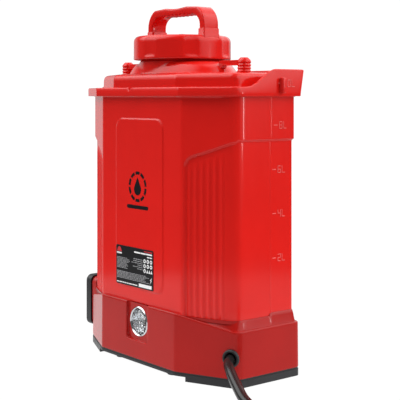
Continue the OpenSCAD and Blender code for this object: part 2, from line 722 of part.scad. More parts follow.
function coil_point(turn, z) = let(a = turn*360 - 90, r = coil_r - coil_pitch*turn)
  [coil_at[0] + r*cos(a), coil_at[1] + r*sin(a), z];
tail_end = coil_point(coil_turns, inlet_z + 2) + 12*[cos(handle_dir), sin(handle_dir), -0.158];

module spray_hose() {
  color(black) {
    sweep(curve(hose_path, 2), ngon(hose_d/2, 12));
    sweep(concat([for (k = [0:6]) coil_point(coil_turns - tail_turn*(1 - k/6),
      hose_d/2 + (inlet_z + 2 - hose_d/2)*(1 - cos(180*k/6))/2)], [tail_end]), ngon(hose_d/2, 12));
  }
}

module hose_coil() {
  inner = coil_r - coil_pitch*coil_turns - hose_d/2;
  color(black) translate([coil_at[0], coil_at[1], 0]) rotate_extrude()
    polygon([[inner, 2.5], [inner + 2.5, 0], [coil_r + 4, 0], [coil_r + 6.5, 2.5],
      [coil_r + 6.5, 10.5], [coil_r + 4, 13], [inner + 2.5, 13], [inner, 10.5]]);
}

// The spray handle's own frame: X from the hose to the lance, -Y towards the trigger.
module in_handle() { translate(tail_end) rotate([0, handle_tilt, handle_dir]) children(); }

module hose_nut() {
  color("#2a2a2c") in_handle() difference() {
    along_x(-4, 0, 0, 10, 16);
    along_x(-5, 0, 0, hose_d/2 + 0.05, 10);
  }
}

module spray_handle() {
  color(black) in_handle() difference() {
    union() {
      translate([12.2, 0, 0]) rotate([90, 0, 90]) linear_extrude(84)
        polygon(rounded([[-13, -10.5], [13, -10.5], [13, 10.5], [-13, 10.5]], [9, 9, 9, 9]));
      along_x(96, 0, 0, 10.5, 34);
      box([96, -27, -7], [112, -6, 7]);
    }
    box([94, -29, -4.2], [113, -14, 4.2]);
    translate([104, -21, -20]) cylinder(r = 2.05, h = 40);
  }
}

module trigger() {
  color(red) in_handle() difference() {
    union() {
      translate([0, 0, -4]) linear_extrude(8)
        polygon([[22, -36], [24, -40], [60, -33], [100, -26.5], [108, -25], [108, -17.5],
          [100, -17.5], [96, -21], [60, -28]]);
      translate([104, -21, -4]) cylinder(r = 4.2, h = 8);
    }
    translate([104, -21, -20]) cylinder(r = 2.05, h = 40);
  }
}

module trigger_pin() { color("silver") in_handle() translate([104, -21, -7]) cylinder(r = 2, h = 14); }

module lance_outlet() {
  color("#c9a24a") in_handle() difference() {
    union() {
      along_x(130, 0, 0, 10.4, 6);
      along_x(136, 0, 0, 7, 14);
    }
    along_x(129, 0, 0, 2.5, 30);
  }
}

// ---- straps ---------------------------------------------------------------------------

// A bracket on the tank's back with a cross bar that the strap's loop hangs from.
module strap_bracket() {
  difference() {
    face_plate(tank_back + 0.2, tank_back + 2.3, 30, 118, bracket_z - 9, bracket_z + 9, 4);
    for (x = bracket_x) along_y(x, tank_back - 1, bracket_z, 1.75, 9);
  }
  for (x = [52, 92]) translate([x, tank_back, bracket_z]) face_plate(2.3, 13, 0, 4, -8, 8, 1.5);
  along_x(52, tank_back + 9.5, bracket_z, 2.4, 44);
}
module strap_bracket_left() { color(black) mirror([1, 0, 0]) strap_bracket(); }
module strap_bracket_right() { color(black) strap_bracket(); }

// Middle line of one shoulder strap, down the back of the sprayer.
pad_line = [[74, 92, 356], [75, 98, 338], [77, 103, 314], [79, 106, 285], [82, 107, 250],
  [86, 105, 215], [90, 102, 185]];
web_line = [[91, 100.6, 176], [95, 98, 155], [101, 94, 128], [108, 91, 100], [115, 89, 74], [120, 87, 46]];
module shoulder_pad() { sweep(curve(pad_line, 2), slab(56, 11), up = [0, 1, 0.01]); }
module strap_web() {
  sweep(curve(web_line, 2), slab(25, 1.8), up = [0, 1, 0.01]);
  translate([74, tank_back + 9.5, bracket_z]) rotate([0, 90, 0]) difference() {
    union() {
      cylinder(r = 4.4, h = 32, center = true);
      translate([-4.4, 2, -16]) cube([2, 16, 32]);
    }
    cylinder(r = 2.6, h = 40, center = true);
  }
}
module shoulder_pad_left() { color(black) mirror([1, 0, 0]) shoulder_pad(); }
module shoulder_pad_right() { color(black) shoulder_pad(); }
module strap_web_left() { color("#2c2c2c") mirror([1, 0, 0]) strap_web(); }
module strap_web_right() { color("#2c2c2c") strap_web(); }

// Ladder buckle between the pad and the webbing.
module strap_buckle() {
  translate([90.6, 101.4, 180.5]) rotate([0, 3, 0]) {
    box([-19, -3, 1], [19, 3, 4]);
    box([-19, -3, -16], [-15, 3, 4]);
    box([15, -3, -16], [19, 3, 4]);
    box([-19, -4.6, -18], [19, -1.8, -12]);
  }
}
module strap_buckle_left() { color(black) mirror([1, 0, 0]) strap_buckle(); }
module strap_buckle_right() { color(black) strap_buckle(); }

// Hook on the base's back wall that the webbing's lower end hangs from.
module strap_anchor() {
  along_x(106, back_y + 9, 38, 2.4, 30);
  for (x = [106, 132]) box([x, back_y + 0.3, 34], [x + 4, back_y + 11.5, 42]);
}
module strap_anchor_left() { color("#8a8d90") mirror([1, 0, 0]) strap_anchor(); }
module strap_anchor_right() { color("#8a8d90") strap_anchor(); }

// ---- what is drawn ----------------------------------------------------------------------

tank();
tank_outlet();
outlet_washer();
strainer_basket();
cap();
cap_handle();
cap_gasket();
vent_valve();
lance_hanger_left();
lance_hanger_right();
label_plate();
base_housing();
bottom_plate();
rubber_feet();
base_screws();
bracket_screws();
lamp_bezel();
lamp_reflector();
lamp_lens();
lamp_board();
control_panel();
panel_screws();
power_rocker();
speed_knob();
speed_potentiometer();
charge_socket();
charge_cap();
charge_gauge();
lamp_button();
lamp_switch();
hose_grommet();
battery();
battery_clamp();
battery_leads();
pump_motor();
pump_head();
pump_shaft();
pump_bracket();
pressure_switch();
suction_hose();
feed_hose();
spray_hose();
hose_coil();
hose_nut();
spray_handle();
trigger();
trigger_pin();
lance_outlet();
strap_bracket_left();
strap_bracket_right();
shoulder_pad_left();
shoulder_pad_right();
strap_web_left();
strap_web_right();
strap_buckle_left();
strap_buckle_right();
strap_anchor_left();
strap_anchor_right();
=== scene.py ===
import json
import math
import random

import bmesh
import bpy
import numpy as np
from mathutils import Matrix, Vector

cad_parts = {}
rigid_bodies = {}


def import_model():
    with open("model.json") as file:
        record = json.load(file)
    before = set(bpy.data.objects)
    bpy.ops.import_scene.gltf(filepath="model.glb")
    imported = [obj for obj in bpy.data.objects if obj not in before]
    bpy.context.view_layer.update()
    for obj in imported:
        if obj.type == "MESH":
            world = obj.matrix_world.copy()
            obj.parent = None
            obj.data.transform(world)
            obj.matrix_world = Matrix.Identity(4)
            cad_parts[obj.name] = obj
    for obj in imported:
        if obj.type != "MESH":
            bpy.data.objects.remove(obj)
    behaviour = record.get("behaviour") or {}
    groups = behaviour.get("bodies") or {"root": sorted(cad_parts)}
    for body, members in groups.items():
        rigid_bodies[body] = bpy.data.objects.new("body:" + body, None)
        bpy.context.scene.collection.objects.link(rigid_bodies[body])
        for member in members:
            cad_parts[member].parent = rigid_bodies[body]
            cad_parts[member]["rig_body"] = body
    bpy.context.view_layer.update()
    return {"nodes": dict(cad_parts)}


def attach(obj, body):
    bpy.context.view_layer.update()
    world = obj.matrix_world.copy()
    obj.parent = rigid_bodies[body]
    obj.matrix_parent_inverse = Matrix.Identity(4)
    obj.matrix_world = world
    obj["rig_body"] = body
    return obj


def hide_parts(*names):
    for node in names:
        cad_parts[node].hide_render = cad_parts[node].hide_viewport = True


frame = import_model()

# Lengths in this script are in millimetres, in the CAD's own frame; MM turns them into metres.
MM = 0.001
ROOT = "sprayer"
rng = random.Random(4)

# ---- materials ----------------------------------------------------------------------------


class Nodes:
    """A material's node tree, with the calls that this scene needs."""

    def __init__(self, name):
        self.mat = bpy.data.materials.new(name)
        self.mat.use_nodes = True
        self.tree = self.mat.node_tree
        self.shader = self.tree.nodes["Principled BSDF"]
        self.coords = self.tree.nodes.new("ShaderNodeTexCoord").outputs["Object"]

    def add(self, kind, inputs=(), **settings):
        node = self.tree.nodes.new("ShaderNode" + kind)
        for key, value in settings.items():
            setattr(node, key, value)
        for key, value in dict(inputs).items():
            self.put(node.inputs[key], value)
        return node

    def put(self, socket, value):
        if isinstance(value, bpy.types.NodeSocket):
            self.tree.links.new(value, socket)
        else:
            socket.default_value = value

    def set(self, **values):
        for key, value in values.items():
            self.put(self.shader.inputs[key.replace("_", " ")], value)

    def noise(self, scale, detail=3.0, stretch=(1, 1, 1), rough=0.55):
        where = self.add("Mapping", {"Vector": self.coords, "Scale": stretch}).outputs[0]
        return self.add("TexNoise", {"Vector": where, "Scale": scale, "Detail": detail,
                                     "Roughness": rough}).outputs["Fac"]

    def between(self, fac, low, high):
        """A number that follows fac from low to high."""
        return self.add("MapRange", {"Value": fac, "From Min": 0.3, "From Max": 0.7,
                                     "To Min": low, "To Max": high}).outputs[0]

    def tint(self, fac, low, high):
        ramp = self.add("ValToRGB", {"Fac": fac})
        ramp.color_ramp.elements[0].position = 0.3
        ramp.color_ramp.elements[1].position = 0.7
        ramp.color_ramp.elements[0].color = (*low, 1)
        ramp.color_ramp.elements[1].color = (*high, 1)
        return ramp.outputs[0]

    def mix(self, fac, a, b, mode="MIX"):
        node = self.add("Mix", data_type="RGBA", blend_type=mode)
        self.put(node.inputs[0], fac)
        self.put(node.inputs[6], a)
        self.put(node.inputs[7], b)
        return node.outputs[2]

    def math(self, operation, a, b=0.0):
        node = self.add("Math", operation=operation)
        self.put(node.inputs[0], a)
        self.put(node.inputs[1], b)
        return node.outputs[0]

    def bump(self, height, strength, depth):
        self.set(Normal=self.add("Bump", {"Height": height, "Strength": strength,
                                          "Distance": depth}).outputs[0])


def shade(color, k):
    return tuple(min(1.0, c*k) for c in color)


def moulded(name, color, low=0.16, high=0.26, spread=0.07, grain=0.03, gloss=0.5, edge_highlight=0.25):
    """Moulded plastic: slow colour drift, a faint orange-peel, scuffs, and convex edges made paler as a
    painted edge highlight.
    """
    n = Nodes(name)
    drift = n.noise(14, 4)
    peel = n.noise(420, 2)
    scuff = n.noise(150, 5, (1, 1, 0.12), 0.7)
    # Pointiness makes convex edges paler: a painted highlight along the edges.
    edge = n.add("MapRange", {"Value": n.add("NewGeometry").outputs["Pointiness"],
                              "From Min": 0.52, "From Max": 0.64, "To Min": 0.0, "To Max": edge_highlight})
    base = n.tint(drift, shade(color, 1 - spread), shade(color, 1 + spread))
    edge_highlight_color = tuple(c + (0.75 - c)*0.35 for c in color)
    n.set(Base_Color=n.mix(edge.outputs[0], base, (*edge_highlight_color, 1)))
    n.set(Roughness=n.between(scuff, low, high), Specular_IOR_Level=gloss)
    n.bump(n.math("ADD", n.math("MULTIPLY", peel, 0.5), n.math("MULTIPLY", scuff, 0.5)), grain, 0.0004)
    return n.mat


def textured(name, color, low, high, scale=900, depth=0.00025, strength=0.35, spread=0.2, gloss=0.35):
    """Satin, fine-grained plastic or rubber with dust in its grain."""
    n = Nodes(name)
    grain = n.noise(scale, 3)
    dust = n.noise(30, 5, rough=0.7)
    n.set(Base_Color=n.tint(dust, shade(color, 1 - spread), shade(color, 1 + spread)),
          Roughness=n.between(dust, low, high), Specular_IOR_Level=gloss)
    n.bump(grain, strength, depth)
    return n.mat


def metal(name, color, low, high, stretch=(1, 1, 1), spread=0.06):
    n = Nodes(name)
    lines = n.noise(500, 4, stretch, 0.7)
    n.set(Base_Color=n.tint(n.noise(40, 3), shade(color, 1 - spread), shade(color, 1 + spread)),
          Metallic=1.0, Roughness=n.between(lines, low, high))
    n.bump(lines, 0.08, 0.0001)
    return n.mat


def woven(name, color, pitch, depth, along=(0, 0, 1), across=(1, 0, 0), fuzz=0.4):
    """Plain weave: two sets of threads, each over and under the other."""
    n = Nodes(name)

    def threads(axis, phase):
        side = n.add("VectorMath", operation="DOT_PRODUCT")
        n.put(side.inputs[0], n.coords)
        side.inputs[1].default_value = axis
        wave = n.math("SINE", n.math("ADD", n.math("MULTIPLY", side.outputs["Value"],
                                                   2*math.pi/(pitch*MM)), phase))
        return n.math("ADD", n.math("MULTIPLY", wave, 0.5), 0.5)

    warp = threads(along, 0.0)
    weft = threads(across, 1.6)
    cloth = n.math("MAXIMUM", warp, weft)
    hair = n.noise(1500, 4, rough=0.8)
    height = n.math("ADD", cloth, n.math("MULTIPLY", hair, fuzz))
    # The colour follows the weave's height: painted shade in the low points between threads, and lighter
    # thread tops.
    low, high = shade(color, 0.45), shade(color, 1.7)
    n.set(Base_Color=n.tint(n.math("MULTIPLY", height, 0.6), low, high), Roughness=0.85,
          Sheen_Weight=0.25, Sheen_Roughness=0.4)
    n.bump(height, 0.7, depth)
    return n.mat


def spacer_mesh(name, color):
    """Air-mesh fabric: rows of small round holes."""
    n = Nodes(name)
    cell = n.add("TexVoronoi", {"Vector": n.coords, "Scale": 330.0, "Randomness": 0.12})
    hole = n.add("MapRange", {"Value": cell.outputs["Distance"], "From Min": 0.15, "From Max": 0.45})
    hair = n.noise(1800, 3, rough=0.8)
    height = n.math("ADD", hole.outputs[0], n.math("MULTIPLY", hair, 0.3))
    # The colour follows the height: painted shade in the holes, and a lighter mesh between them.
    n.set(Base_Color=n.tint(n.math("MULTIPLY", height, 0.7), shade(color, 0.3), shade(color, 1.6)),
          Roughness=0.9, Sheen_Weight=0.3, Sheen_Roughness=0.5)
    n.bump(height, 0.8, 0.0006)
    return n.mat


def lens_glass(name):
    n = Nodes(name)
    cell = n.add("TexVoronoi", {"Vector": n.coords, "Scale": 210.0, "Randomness": 0.5},
                 feature="F1")
    n.set(Base_Color=(0.93, 0.96, 0.98, 1), Roughness=n.between(n.noise(60), 0.01, 0.05),
          IOR=1.49, Transmission_Weight=1.0)
    n.bump(cell.outputs["Distance"], 0.5, 0.0012)
    return n.mat


RED = (0.66, 0.0105, 0.0070)
BASE_RED = (0.36, 0.0080, 0.0060)
MATS = {
    "tank_plastic": moulded("tank_plastic", RED, 0.10, 0.17, 0.04, 0.02, 0.28, 0.1),
    "base_plastic": moulded("base_plastic", BASE_RED, 0.14, 0.22, 0.06, 0.03, 0.18, 0.1),
    "black_plastic": textured("black_plastic", (0.013, 0.013, 0.015), 0.32, 0.5),
    "black_rubber": textured("black_rubber", (0.012, 0.012, 0.013), 0.4, 0.6, 600),
    "hose_rubber": moulded("hose_rubber", (0.010, 0.009, 0.009), 0.12, 0.24, 0.25, 0.05, 0.3, 0.0),
    "lamp_chrome": metal("lamp_chrome", (0.62, 0.63, 0.65), 0.06, 0.14),
    "lens_clear": lens_glass("lens_clear"),
    "circuit_board": textured("circuit_board", (0.03, 0.16, 0.05), 0.3, 0.5),
    "steel": metal("steel", (0.55, 0.56, 0.58), 0.2, 0.4, (1, 0.1, 1)),
    "brass": metal("brass", (0.72, 0.52, 0.2), 0.18, 0.34, (0.1, 1, 1)),
    "rocker_red": moulded("rocker_red", (0.5, 0.02, 0.02), 0.15, 0.25),
    "battery_case": textured("battery_case", (0.05, 0.07, 0.09), 0.4, 0.55),
    "pump_plastic": textured("pump_plastic", (0.03, 0.032, 0.036), 0.4, 0.55),
    "clear_tube": textured("clear_tube", (0.35, 0.38, 0.4), 0.25, 0.4),
    "label_film": textured("label_film", (0.006, 0.006, 0.007), 0.3, 0.4, strength=0.1, gloss=0.15),
    "gauge_glass": moulded("gauge_glass", (0.01, 0.012, 0.016), 0.05, 0.1),
    "wire_red": textured("wire_red", (0.4, 0.02, 0.02), 0.4, 0.55),
    "strap_foam": spacer_mesh("strap_foam", (0.03, 0.03, 0.032)),
    "strap_webbing": woven("strap_webbing", (0.035, 0.035, 0.037), 1.6, 0.0004),
    "dark_metal": metal("dark_metal", (0.16, 0.16, 0.17), 0.3, 0.45),
}
PRINT = {
    "white": textured("print_white", (0.82, 0.82, 0.82), 0.3, 0.4, strength=0.1, spread=0.04),
    "grey": textured("print_grey", (0.30, 0.30, 0.31), 0.3, 0.4, strength=0.1),
    "red": textured("print_red", (0.55, 0.02, 0.03), 0.3, 0.4, strength=0.1),
    "black": textured("print_black", (0.004, 0.004, 0.005), 0.3, 0.4, strength=0.1, gloss=0.15),
    "mark": moulded("emboss_red", (0.80, 0.06, 0.05), 0.12, 0.2, 0.03, 0.02),
    "binding": woven("strap_binding", (0.02, 0.02, 0.021), 1.0, 0.0002, (0, 0, 1), (0.7, 0.7, 0)),
    "thread": textured("strap_thread", (0.22, 0.22, 0.23), 0.7, 0.85),
    "led": textured("led_yellow", (0.85, 0.7, 0.25), 0.3, 0.4),
}

# ---- mesh tools -----------------------------------------------------------------------------


def finish_piece(obj, body, slot, mat=None, nodes=()):
    obj.data.materials.clear()
    obj.data.materials.append(mat or MATS[slot])
    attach(obj, body)
    if nodes:
        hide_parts(*nodes)
    return obj


def link(name, data):
    obj = bpy.data.objects.new(name, data)
    bpy.context.scene.collection.objects.link(obj)
    return obj


def around(n):
    """n angles, evenly around a circle."""
    return [2*math.pi*k/n for k in range(n)]


def smooth(mesh, sharp):
    mesh.polygons.foreach_set("use_smooth", [True]*len(mesh.polygons))
    mesh.set_sharp_from_angle(angle=math.radians(sharp))


class Shape:
    """Vertices and faces in millimetres that become one piece."""

    def __init__(self):
        self.verts = []
        self.faces = []

    def add(self, verts, faces):
        start = len(self.verts)
        self.verts += [tuple(v) for v in verts]
        self.faces += [tuple(start + i for i in f) for f in faces]
        return self

    def skin(self, rings, caps=True, looped=False):
        """A surface through rings of points; looped joins the last ring to the first."""
        n = len(rings[0])
        m = len(rings)
        faces = [(j*n + i, j*n + (i + 1) % n, (j + 1) % m*n + (i + 1) % n, (j + 1) % m*n + i)
                 for j in range(m if looped else m - 1) for i in range(n)]
        if caps and not looped:
            faces += [tuple(range(n - 1, -1, -1)), tuple((m - 1)*n + i for i in range(n))]
        return self.add([p for r in rings for p in r], faces)

    def box(self, lo, hi, r=0.0, segments=2):
        bm = bmesh.new()
        size = [b - a for a, b in zip(lo, hi)]
        bmesh.ops.create_cube(bm, size=1.0)
        for v in bm.verts:
            v.co = Vector([a + (c + 0.5)*s for a, c, s in zip(lo, v.co, size)])
        if r:
            bmesh.ops.bevel(bm, geom=bm.edges[:], offset=r, segments=segments, affect="EDGES",
                            profile=0.5)
        self.add([v.co[:] for v in bm.verts], [[v.index for v in f.verts] for f in bm.faces])
        bm.free()
        return self

    def turned(self, profile, place=Matrix.Identity(4), n=48, looped=False):
        """A profile of (radius, height) turned about the axis of place."""
        rings = []
        for r, h in profile:
            rings.append([place @ Vector((r*math.cos(a), r*math.sin(a), h)) for a in around(n)])
        return self.skin(rings, looped=looped)

    def mesh(self, name, sharp=35, weld=True):
        mesh = bpy.data.meshes.new(name)
        mesh.from_pydata([[c*MM for c in v] for v in self.verts], [], self.faces)
        bm = bmesh.new()
        bm.from_mesh(mesh)
        if weld:
            bmesh.ops.remove_doubles(bm, verts=bm.verts, dist=2e-6)
            bmesh.ops.dissolve_degenerate(bm, edges=bm.edges, dist=1e-6)
        bmesh.ops.recalc_face_normals(bm, faces=bm.faces)
        bm.to_mesh(mesh)
        bm.free()
        smooth(mesh, sharp)
        return mesh

    def piece(self, name, slot, body=ROOT, nodes=(), mat=None, sharp=35, bevel=0.0, weld=True):
        obj = link(name, self.mesh(name, sharp, weld))
        if bevel:
            soften(obj, bevel)
        return finish_piece(obj, body, slot, mat, nodes)


def soften(obj, width, segments=2, angle=32):
    """Rounds an object's sharp edges."""
    mod = obj.modifiers.new("edges", "BEVEL")
    mod.width = width*MM
    mod.segments = segments
    mod.limit_method = "ANGLE"
    mod.angle_limit = math.radians(angle)
    mod.use_clamp_overlap = True
    mod.miter_outer = "MITER_ARC"
    mod.harden_normals = True


def dress(node, slot, width=0.6, name=None, body=None, mat=None, segments=2):
    """A copy of a CAD node with welded faces and rounded edges, standing for that node."""
    source = frame["nodes"][node]
    mesh = source.data.copy()
    bm = bmesh.new()
    bm.from_mesh(mesh)
    bmesh.ops.remove_doubles(bm, verts=bm.verts, dist=3e-6)
    bmesh.ops.dissolve_limit(bm, angle_limit=math.radians(0.6), verts=bm.verts, edges=bm.edges)
    bm.to_mesh(mesh)
    bm.free()
    smooth(mesh, 32)
    obj = link(name or node + "_skin", mesh)
    if width:
        soften(obj, width, segments)
    return finish_piece(obj, body or source["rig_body"], slot, mat, (node,))


def bake(obj):
    """Applies an object's modifiers to its mesh."""
    bpy.context.view_layer.update()
    done = bpy.data.meshes.new_from_object(obj.evaluated_get(bpy.context.evaluated_depsgraph_get()))
    obj.modifiers.clear()
    obj.data = done
    return obj


def ease(t):
    t = max(0.0, min(1.0, t))
    return t*t*(3 - 2*t)


# ---- outlines -----------------------------------------------------------------------------------


def six(front_half, front, side, cut, back):
    """The sprayer's plan: a flat front, two cut corners, two sides and a back."""
    return [(-front_half, front), (front_half, front), (side, front + cut),
            (side, back), (-side, back), (-side, front + cut)]


def inset(pts, t):
    out = []
    n = len(pts)
    for i in range(n):
        a, b, c = (Vector(pts[(i + k) % n]) for k in (-1, 0, 1))
        u, v = (b - a).normalized(), (c - b).normalized()
        p, q = b + Vector((-u.y, u.x))*t, b + Vector((-v.y, v.x))*t
        k = ((q - p).x*v.y - (q - p).y*v.x)/(u.x*v.y - u.y*v.x)
        out.append(tuple(p + u*k))
    return out


def outline(pts, radii, cuts, arcs=8):
    """Points around a plan: each corner is an arc, and side i is cut at the shares cuts[i]."""
    n = len(pts)
    ends = []
    for i in range(n):
        a, b, c = (Vector(pts[(i + k) % n]) for k in (-1, 0, 1))
        u, v = (a - b).normalized(), (c - b).normalized()
        half = math.acos(max(-1, min(1, u.dot(v))))/2
        r = max(radii[i], 0.05)
        m = b + (u + v).normalized()*r/math.sin(half)
        p, q = b + u*r/math.tan(half), b + v*r/math.tan(half)
        a0 = math.atan2(p.y - m.y, p.x - m.x)
        turn = (math.atan2(q.y - m.y, q.x - m.x) - a0 + math.pi) % (2*math.pi) - math.pi
        ends.append([m + Vector((math.cos(a0 + turn*k/arcs), math.sin(a0 + turn*k/arcs)))*r
                     for k in range(arcs + 1)])
    out = []
    for i in range(n):
        out += ends[i]
        a, b = ends[i][-1], ends[(i + 1) % n][0]
        out += [a + (b - a)*t for t in cuts[i]]
    return [(p.x, p.y) for p in out]


def steps(a, b, n):
    return [a + (b - a)*k/n for k in range(n + 1)]


def shares(values, a, b):
    return [(v - a)/(b - a) for v in values if min(a, b) < v < max(a, b)]


# The sizes below repeat part.scad's.
TANK = six(92, -65, 165, 32, 70)
TANK_R = [12, 12, 20, 5, 5, 20]
BASE = six(85, -71, 169, 37, 76)
BASE_R = [12, 12, 17, 8, 8, 17]
RIM = six(96, -73.5, 173, 34, 78)
RIM_R = [10, 10, 16, 5, 5, 16]
SHOULDER = six(72, -60, 155, 36, 66)
SHOULDER_R = [9, 9, 15, 8, 8, 15]
NECK_Y = 8               # the neck stands this far behind the tank's middle
NECK = 58.5              # the neck's radius
SEAT_Z = 82              # where the tank stands in the base
RIM_Z = 369              # top of the tank's walls, where the rim begins
CUT = Vector((37, -84, 0)).normalized()      # outward normal of the base's right front cut
EXIT = Vector((160.5, -37.7, 38))

# ---- camera -------------------------------------------------------------------------------------

camera_data = bpy.data.cameras.new("camera")
camera_data.sensor_width = 36
camera_data.lens = 92.7
camera_data.shift_y = -0.2593
camera_data.clip_end = 50
camera = link("camera", camera_data)
camera.location = Vector((1150.5, -882.0, 369.0))*MM
camera.rotation_euler = (math.radians(90), 0, math.radians(51.284))
bpy.context.scene.camera = camera

# ---- hose ---------------------------------------------------------------------------------------

HOSE_D = 13
HOSE = [(158, -32, 38), (161.7, -40.2, 36.9), (168.4, -48.8, 35.2), (176.6, -55.5, 33.4),
        (188.4, -62.2, 29.6), (201, -68, 24.5), (216.2, -74.4, 18.4), (233.6, -81, 11.9),
        (256.2, -87, 7.4), (282, -94, 6.5), (315, -105, 6.5), (350, -118, 6.5),
        (385, -128.5, 6.5), (415, -132, 6.5)]
COIL_AT = (415, -45)
COIL_R = 87
PITCH = 13.4
TURNS = 2.18
TAIL = 0.34              # share of a turn in which the hose climbs to the spray handle
INLET_Z = 34.3
FLOOR_HOSE = 6.5


def coil_point(turn, z):
    a = 2*math.pi*turn - math.pi/2
    r = COIL_R - PITCH*turn
    return (COIL_AT[0] + r*math.cos(a), COIL_AT[1] + r*math.sin(a), z)


def hose_line():
    line = [Vector(p) for p in HOSE]
    per_turn = 20
    last = TURNS - TAIL
    line += [Vector(coil_point(last*k/int(last*per_turn), FLOOR_HOSE))
             for k in range(1, int(last*per_turn))]
    for k in range(7):
        rise = (1 - math.cos(math.pi*k/6))/2
        line.append(Vector(coil_point(last + TAIL*k/6, FLOOR_HOSE + (INLET_Z + 2 - FLOOR_HOSE)*rise)))
    facing = 2*math.pi*TURNS
    line.append(line[-1] + Vector((12*math.cos(facing), 12*math.sin(facing), -12*0.158)))
    return line, facing


hose_points, HANDLE_TURN = hose_line()
hose_curve = bpy.data.curves.new("spray_hose_tube", "CURVE")
hose_curve.dimensions = "3D"
hose_curve.bevel_depth = HOSE_D/2*MM
hose_curve.bevel_resolution = 6
hose_curve.resolution_u = 5
hose_curve.use_fill_caps = True
spline = hose_curve.splines.new("BEZIER")
spline.bezier_points.add(len(hose_points) - 1)
for i, (knot, p) in enumerate(zip(spline.bezier_points, hose_points)):
    before = hose_points[i - 1] if i else 2*p - hose_points[1]
    after = hose_points[i + 1] if i + 1 < len(hose_points) else 2*p - hose_points[-2]
    tangent = (after - before)/6
    knot.handle_left_type = knot.handle_right_type = "FREE"
    knot.co = p*MM
    knot.handle_left = (p - tangent)*MM
    knot.handle_right = (p + tangent)*MM
hose = link("spray_hose_tube", hose_curve)
finish_piece(hose, ROOT, "hose_rubber", nodes=("spray_hose", "hose_coil"))


# The spray handle's own frame: X from the hose to the lance, -Y towards the trigger.
HANDLE = (Matrix.Translation(hose_points[-1]) @ Matrix.Rotation(HANDLE_TURN, 4, "Z")
          @ Matrix.Rotation(math.radians(9), 4, "Y"))


def at(matrix, pts):
    return [tuple(matrix @ Vector(p)) for p in pts]


def loop(half_y, half_z, power, n=28, lift=0.0, push=0.0):
    """A superellipse in the Y-Z plane."""
    out = []
    for k in range(n):
        a = 2*math.pi*k/n
        c, s = math.cos(a), math.sin(a)
        out.append((push + half_y*math.copysign(abs(c)**(2/power), c),
                    lift + half_z*math.copysign(abs(s)**(2/power), s)))
    return out


def handle_body():
    """Grip of the spray handle: oval, waisted in the middle, with finger grooves below."""
    shape = Shape()
    rings = []
    for k in range(61):
        x = 12.4 + 83.6*k/60
        t = k/60
        end = min(1.0, math.sqrt(max(0.02, min(k, 60)/4))) if k < 4 else 1.0
        waist = 1 - 0.09*math.sin(math.pi*t)
        groove = 0.9*max(0.0, math.sin(2*math.pi*(x - 26)/17)) if 26 < x < 86 else 0.0
        section = loop(12.6*waist*end, 10.2*waist*end, 3.2, 36)
        rings.append([(x, y + (groove if y < 0 else 0)*min(1, abs(y)/8), z) for y, z in section])
    for x, r in ((98, 11.2), (102, 10.6), (128.6, 10.2), (129.7, 9.3)):
        rings.append([(x, y, z) for y, z in loop(r, r, 2.0, 36)])
    shape.skin([at(HANDLE, r) for r in rings])
    for x in (104, 109, 114, 119, 124):
        band = [(x + a, b) for a, b in ((-1, 9.8), (-0.8, 10.5), (0.8, 10.5), (1, 9.8))]
        shape.skin([at(HANDLE, [(px, r*math.cos(t), r*math.sin(t)) for t in around(36)])
                    for px, r in band], looped=True)
    for side in (-1, 1):
        lug = Shape().box((96.5, -26.6, side*5.7 - 1.4), (111.5, -7, side*5.7 + 1.4), 1.2)
        shape.add(at(HANDLE, lug.verts), lug.faces)
        cap = Shape().turned([(4.4, 0), (4.4, 0.5), (3.6, 0.9), (3.5, 0.3)],
                             Matrix.Translation((104, -21, side*7)) @ Matrix.Rotation(
                                 0 if side > 0 else math.pi, 4, "X"), 24)
        shape.add(at(HANDLE, cap.verts), cap.faces)
    eye = Shape()
    eye.skin([[(15.5 + (5.4 + 1.9*math.cos(b))*math.cos(a), 12.6 + (5.4 + 1.9*math.cos(b))*math.sin(a)*0.8,
                1.9*math.sin(b)) for b in (2*math.pi*j/12 for j in range(12))]
              for a in (math.pi*j/14 - 0.05 for j in range(15))])
    shape.add(at(HANDLE, [(x + 6, y - 1.6, z) for x, y, z in eye.verts]), eye.faces)
    return shape.piece("spray_handle_body", "black_plastic", nodes=("spray_handle",))


def trigger_piece():
    """Curved lever with a ribbed finger side."""
    top = [(24, -29.5), (45, -27.6), (60, -26.0), (80, -23.0), (92, -20.4), (99, -17.2), (107.2, -17.2)]
    low = [(22.6, -37.2), (45, -35.8), (60, -33.2), (80, -29.8), (92, -27.6), (100, -26.4), (107.6, -24.6)]
    rings = []
    for (xa, ya), (xb, yb) in zip(top, low):
        mid = ((xa + xb)/2, (ya + yb)/2)
        ring = []
        for u, v in loop(1, 1, 3.0, 24):
            ring.append((mid[0] + (xa - xb)/2*u, mid[1] + (ya - yb)/2*u, 3.8*v))
        rings.append(ring)
    shape = Shape().skin([at(HANDLE, r) for r in rings])
    for k in range(9):
        x = 30 + 6*k
        y = np.interp(x, [p[0] for p in low], [p[1] for p in low])
        rib = Shape().box((x - 0.9, y - 0.7, -3.1), (x + 0.9, y + 1.5, 3.1), 0.5)
        shape.add(at(HANDLE, rib.verts), rib.faces)
    eye = Shape().turned([(2.1, -3.9), (4.2, -3.9), (4.2, 3.9), (2.1, 3.9)],
                         Matrix.Translation((104, -21, 0)), 28, looped=True)
    shape.add(at(HANDLE, eye.verts), eye.faces)
    return shape.piece("trigger_lever", "tank_plastic", "trigger", ("trigger",))


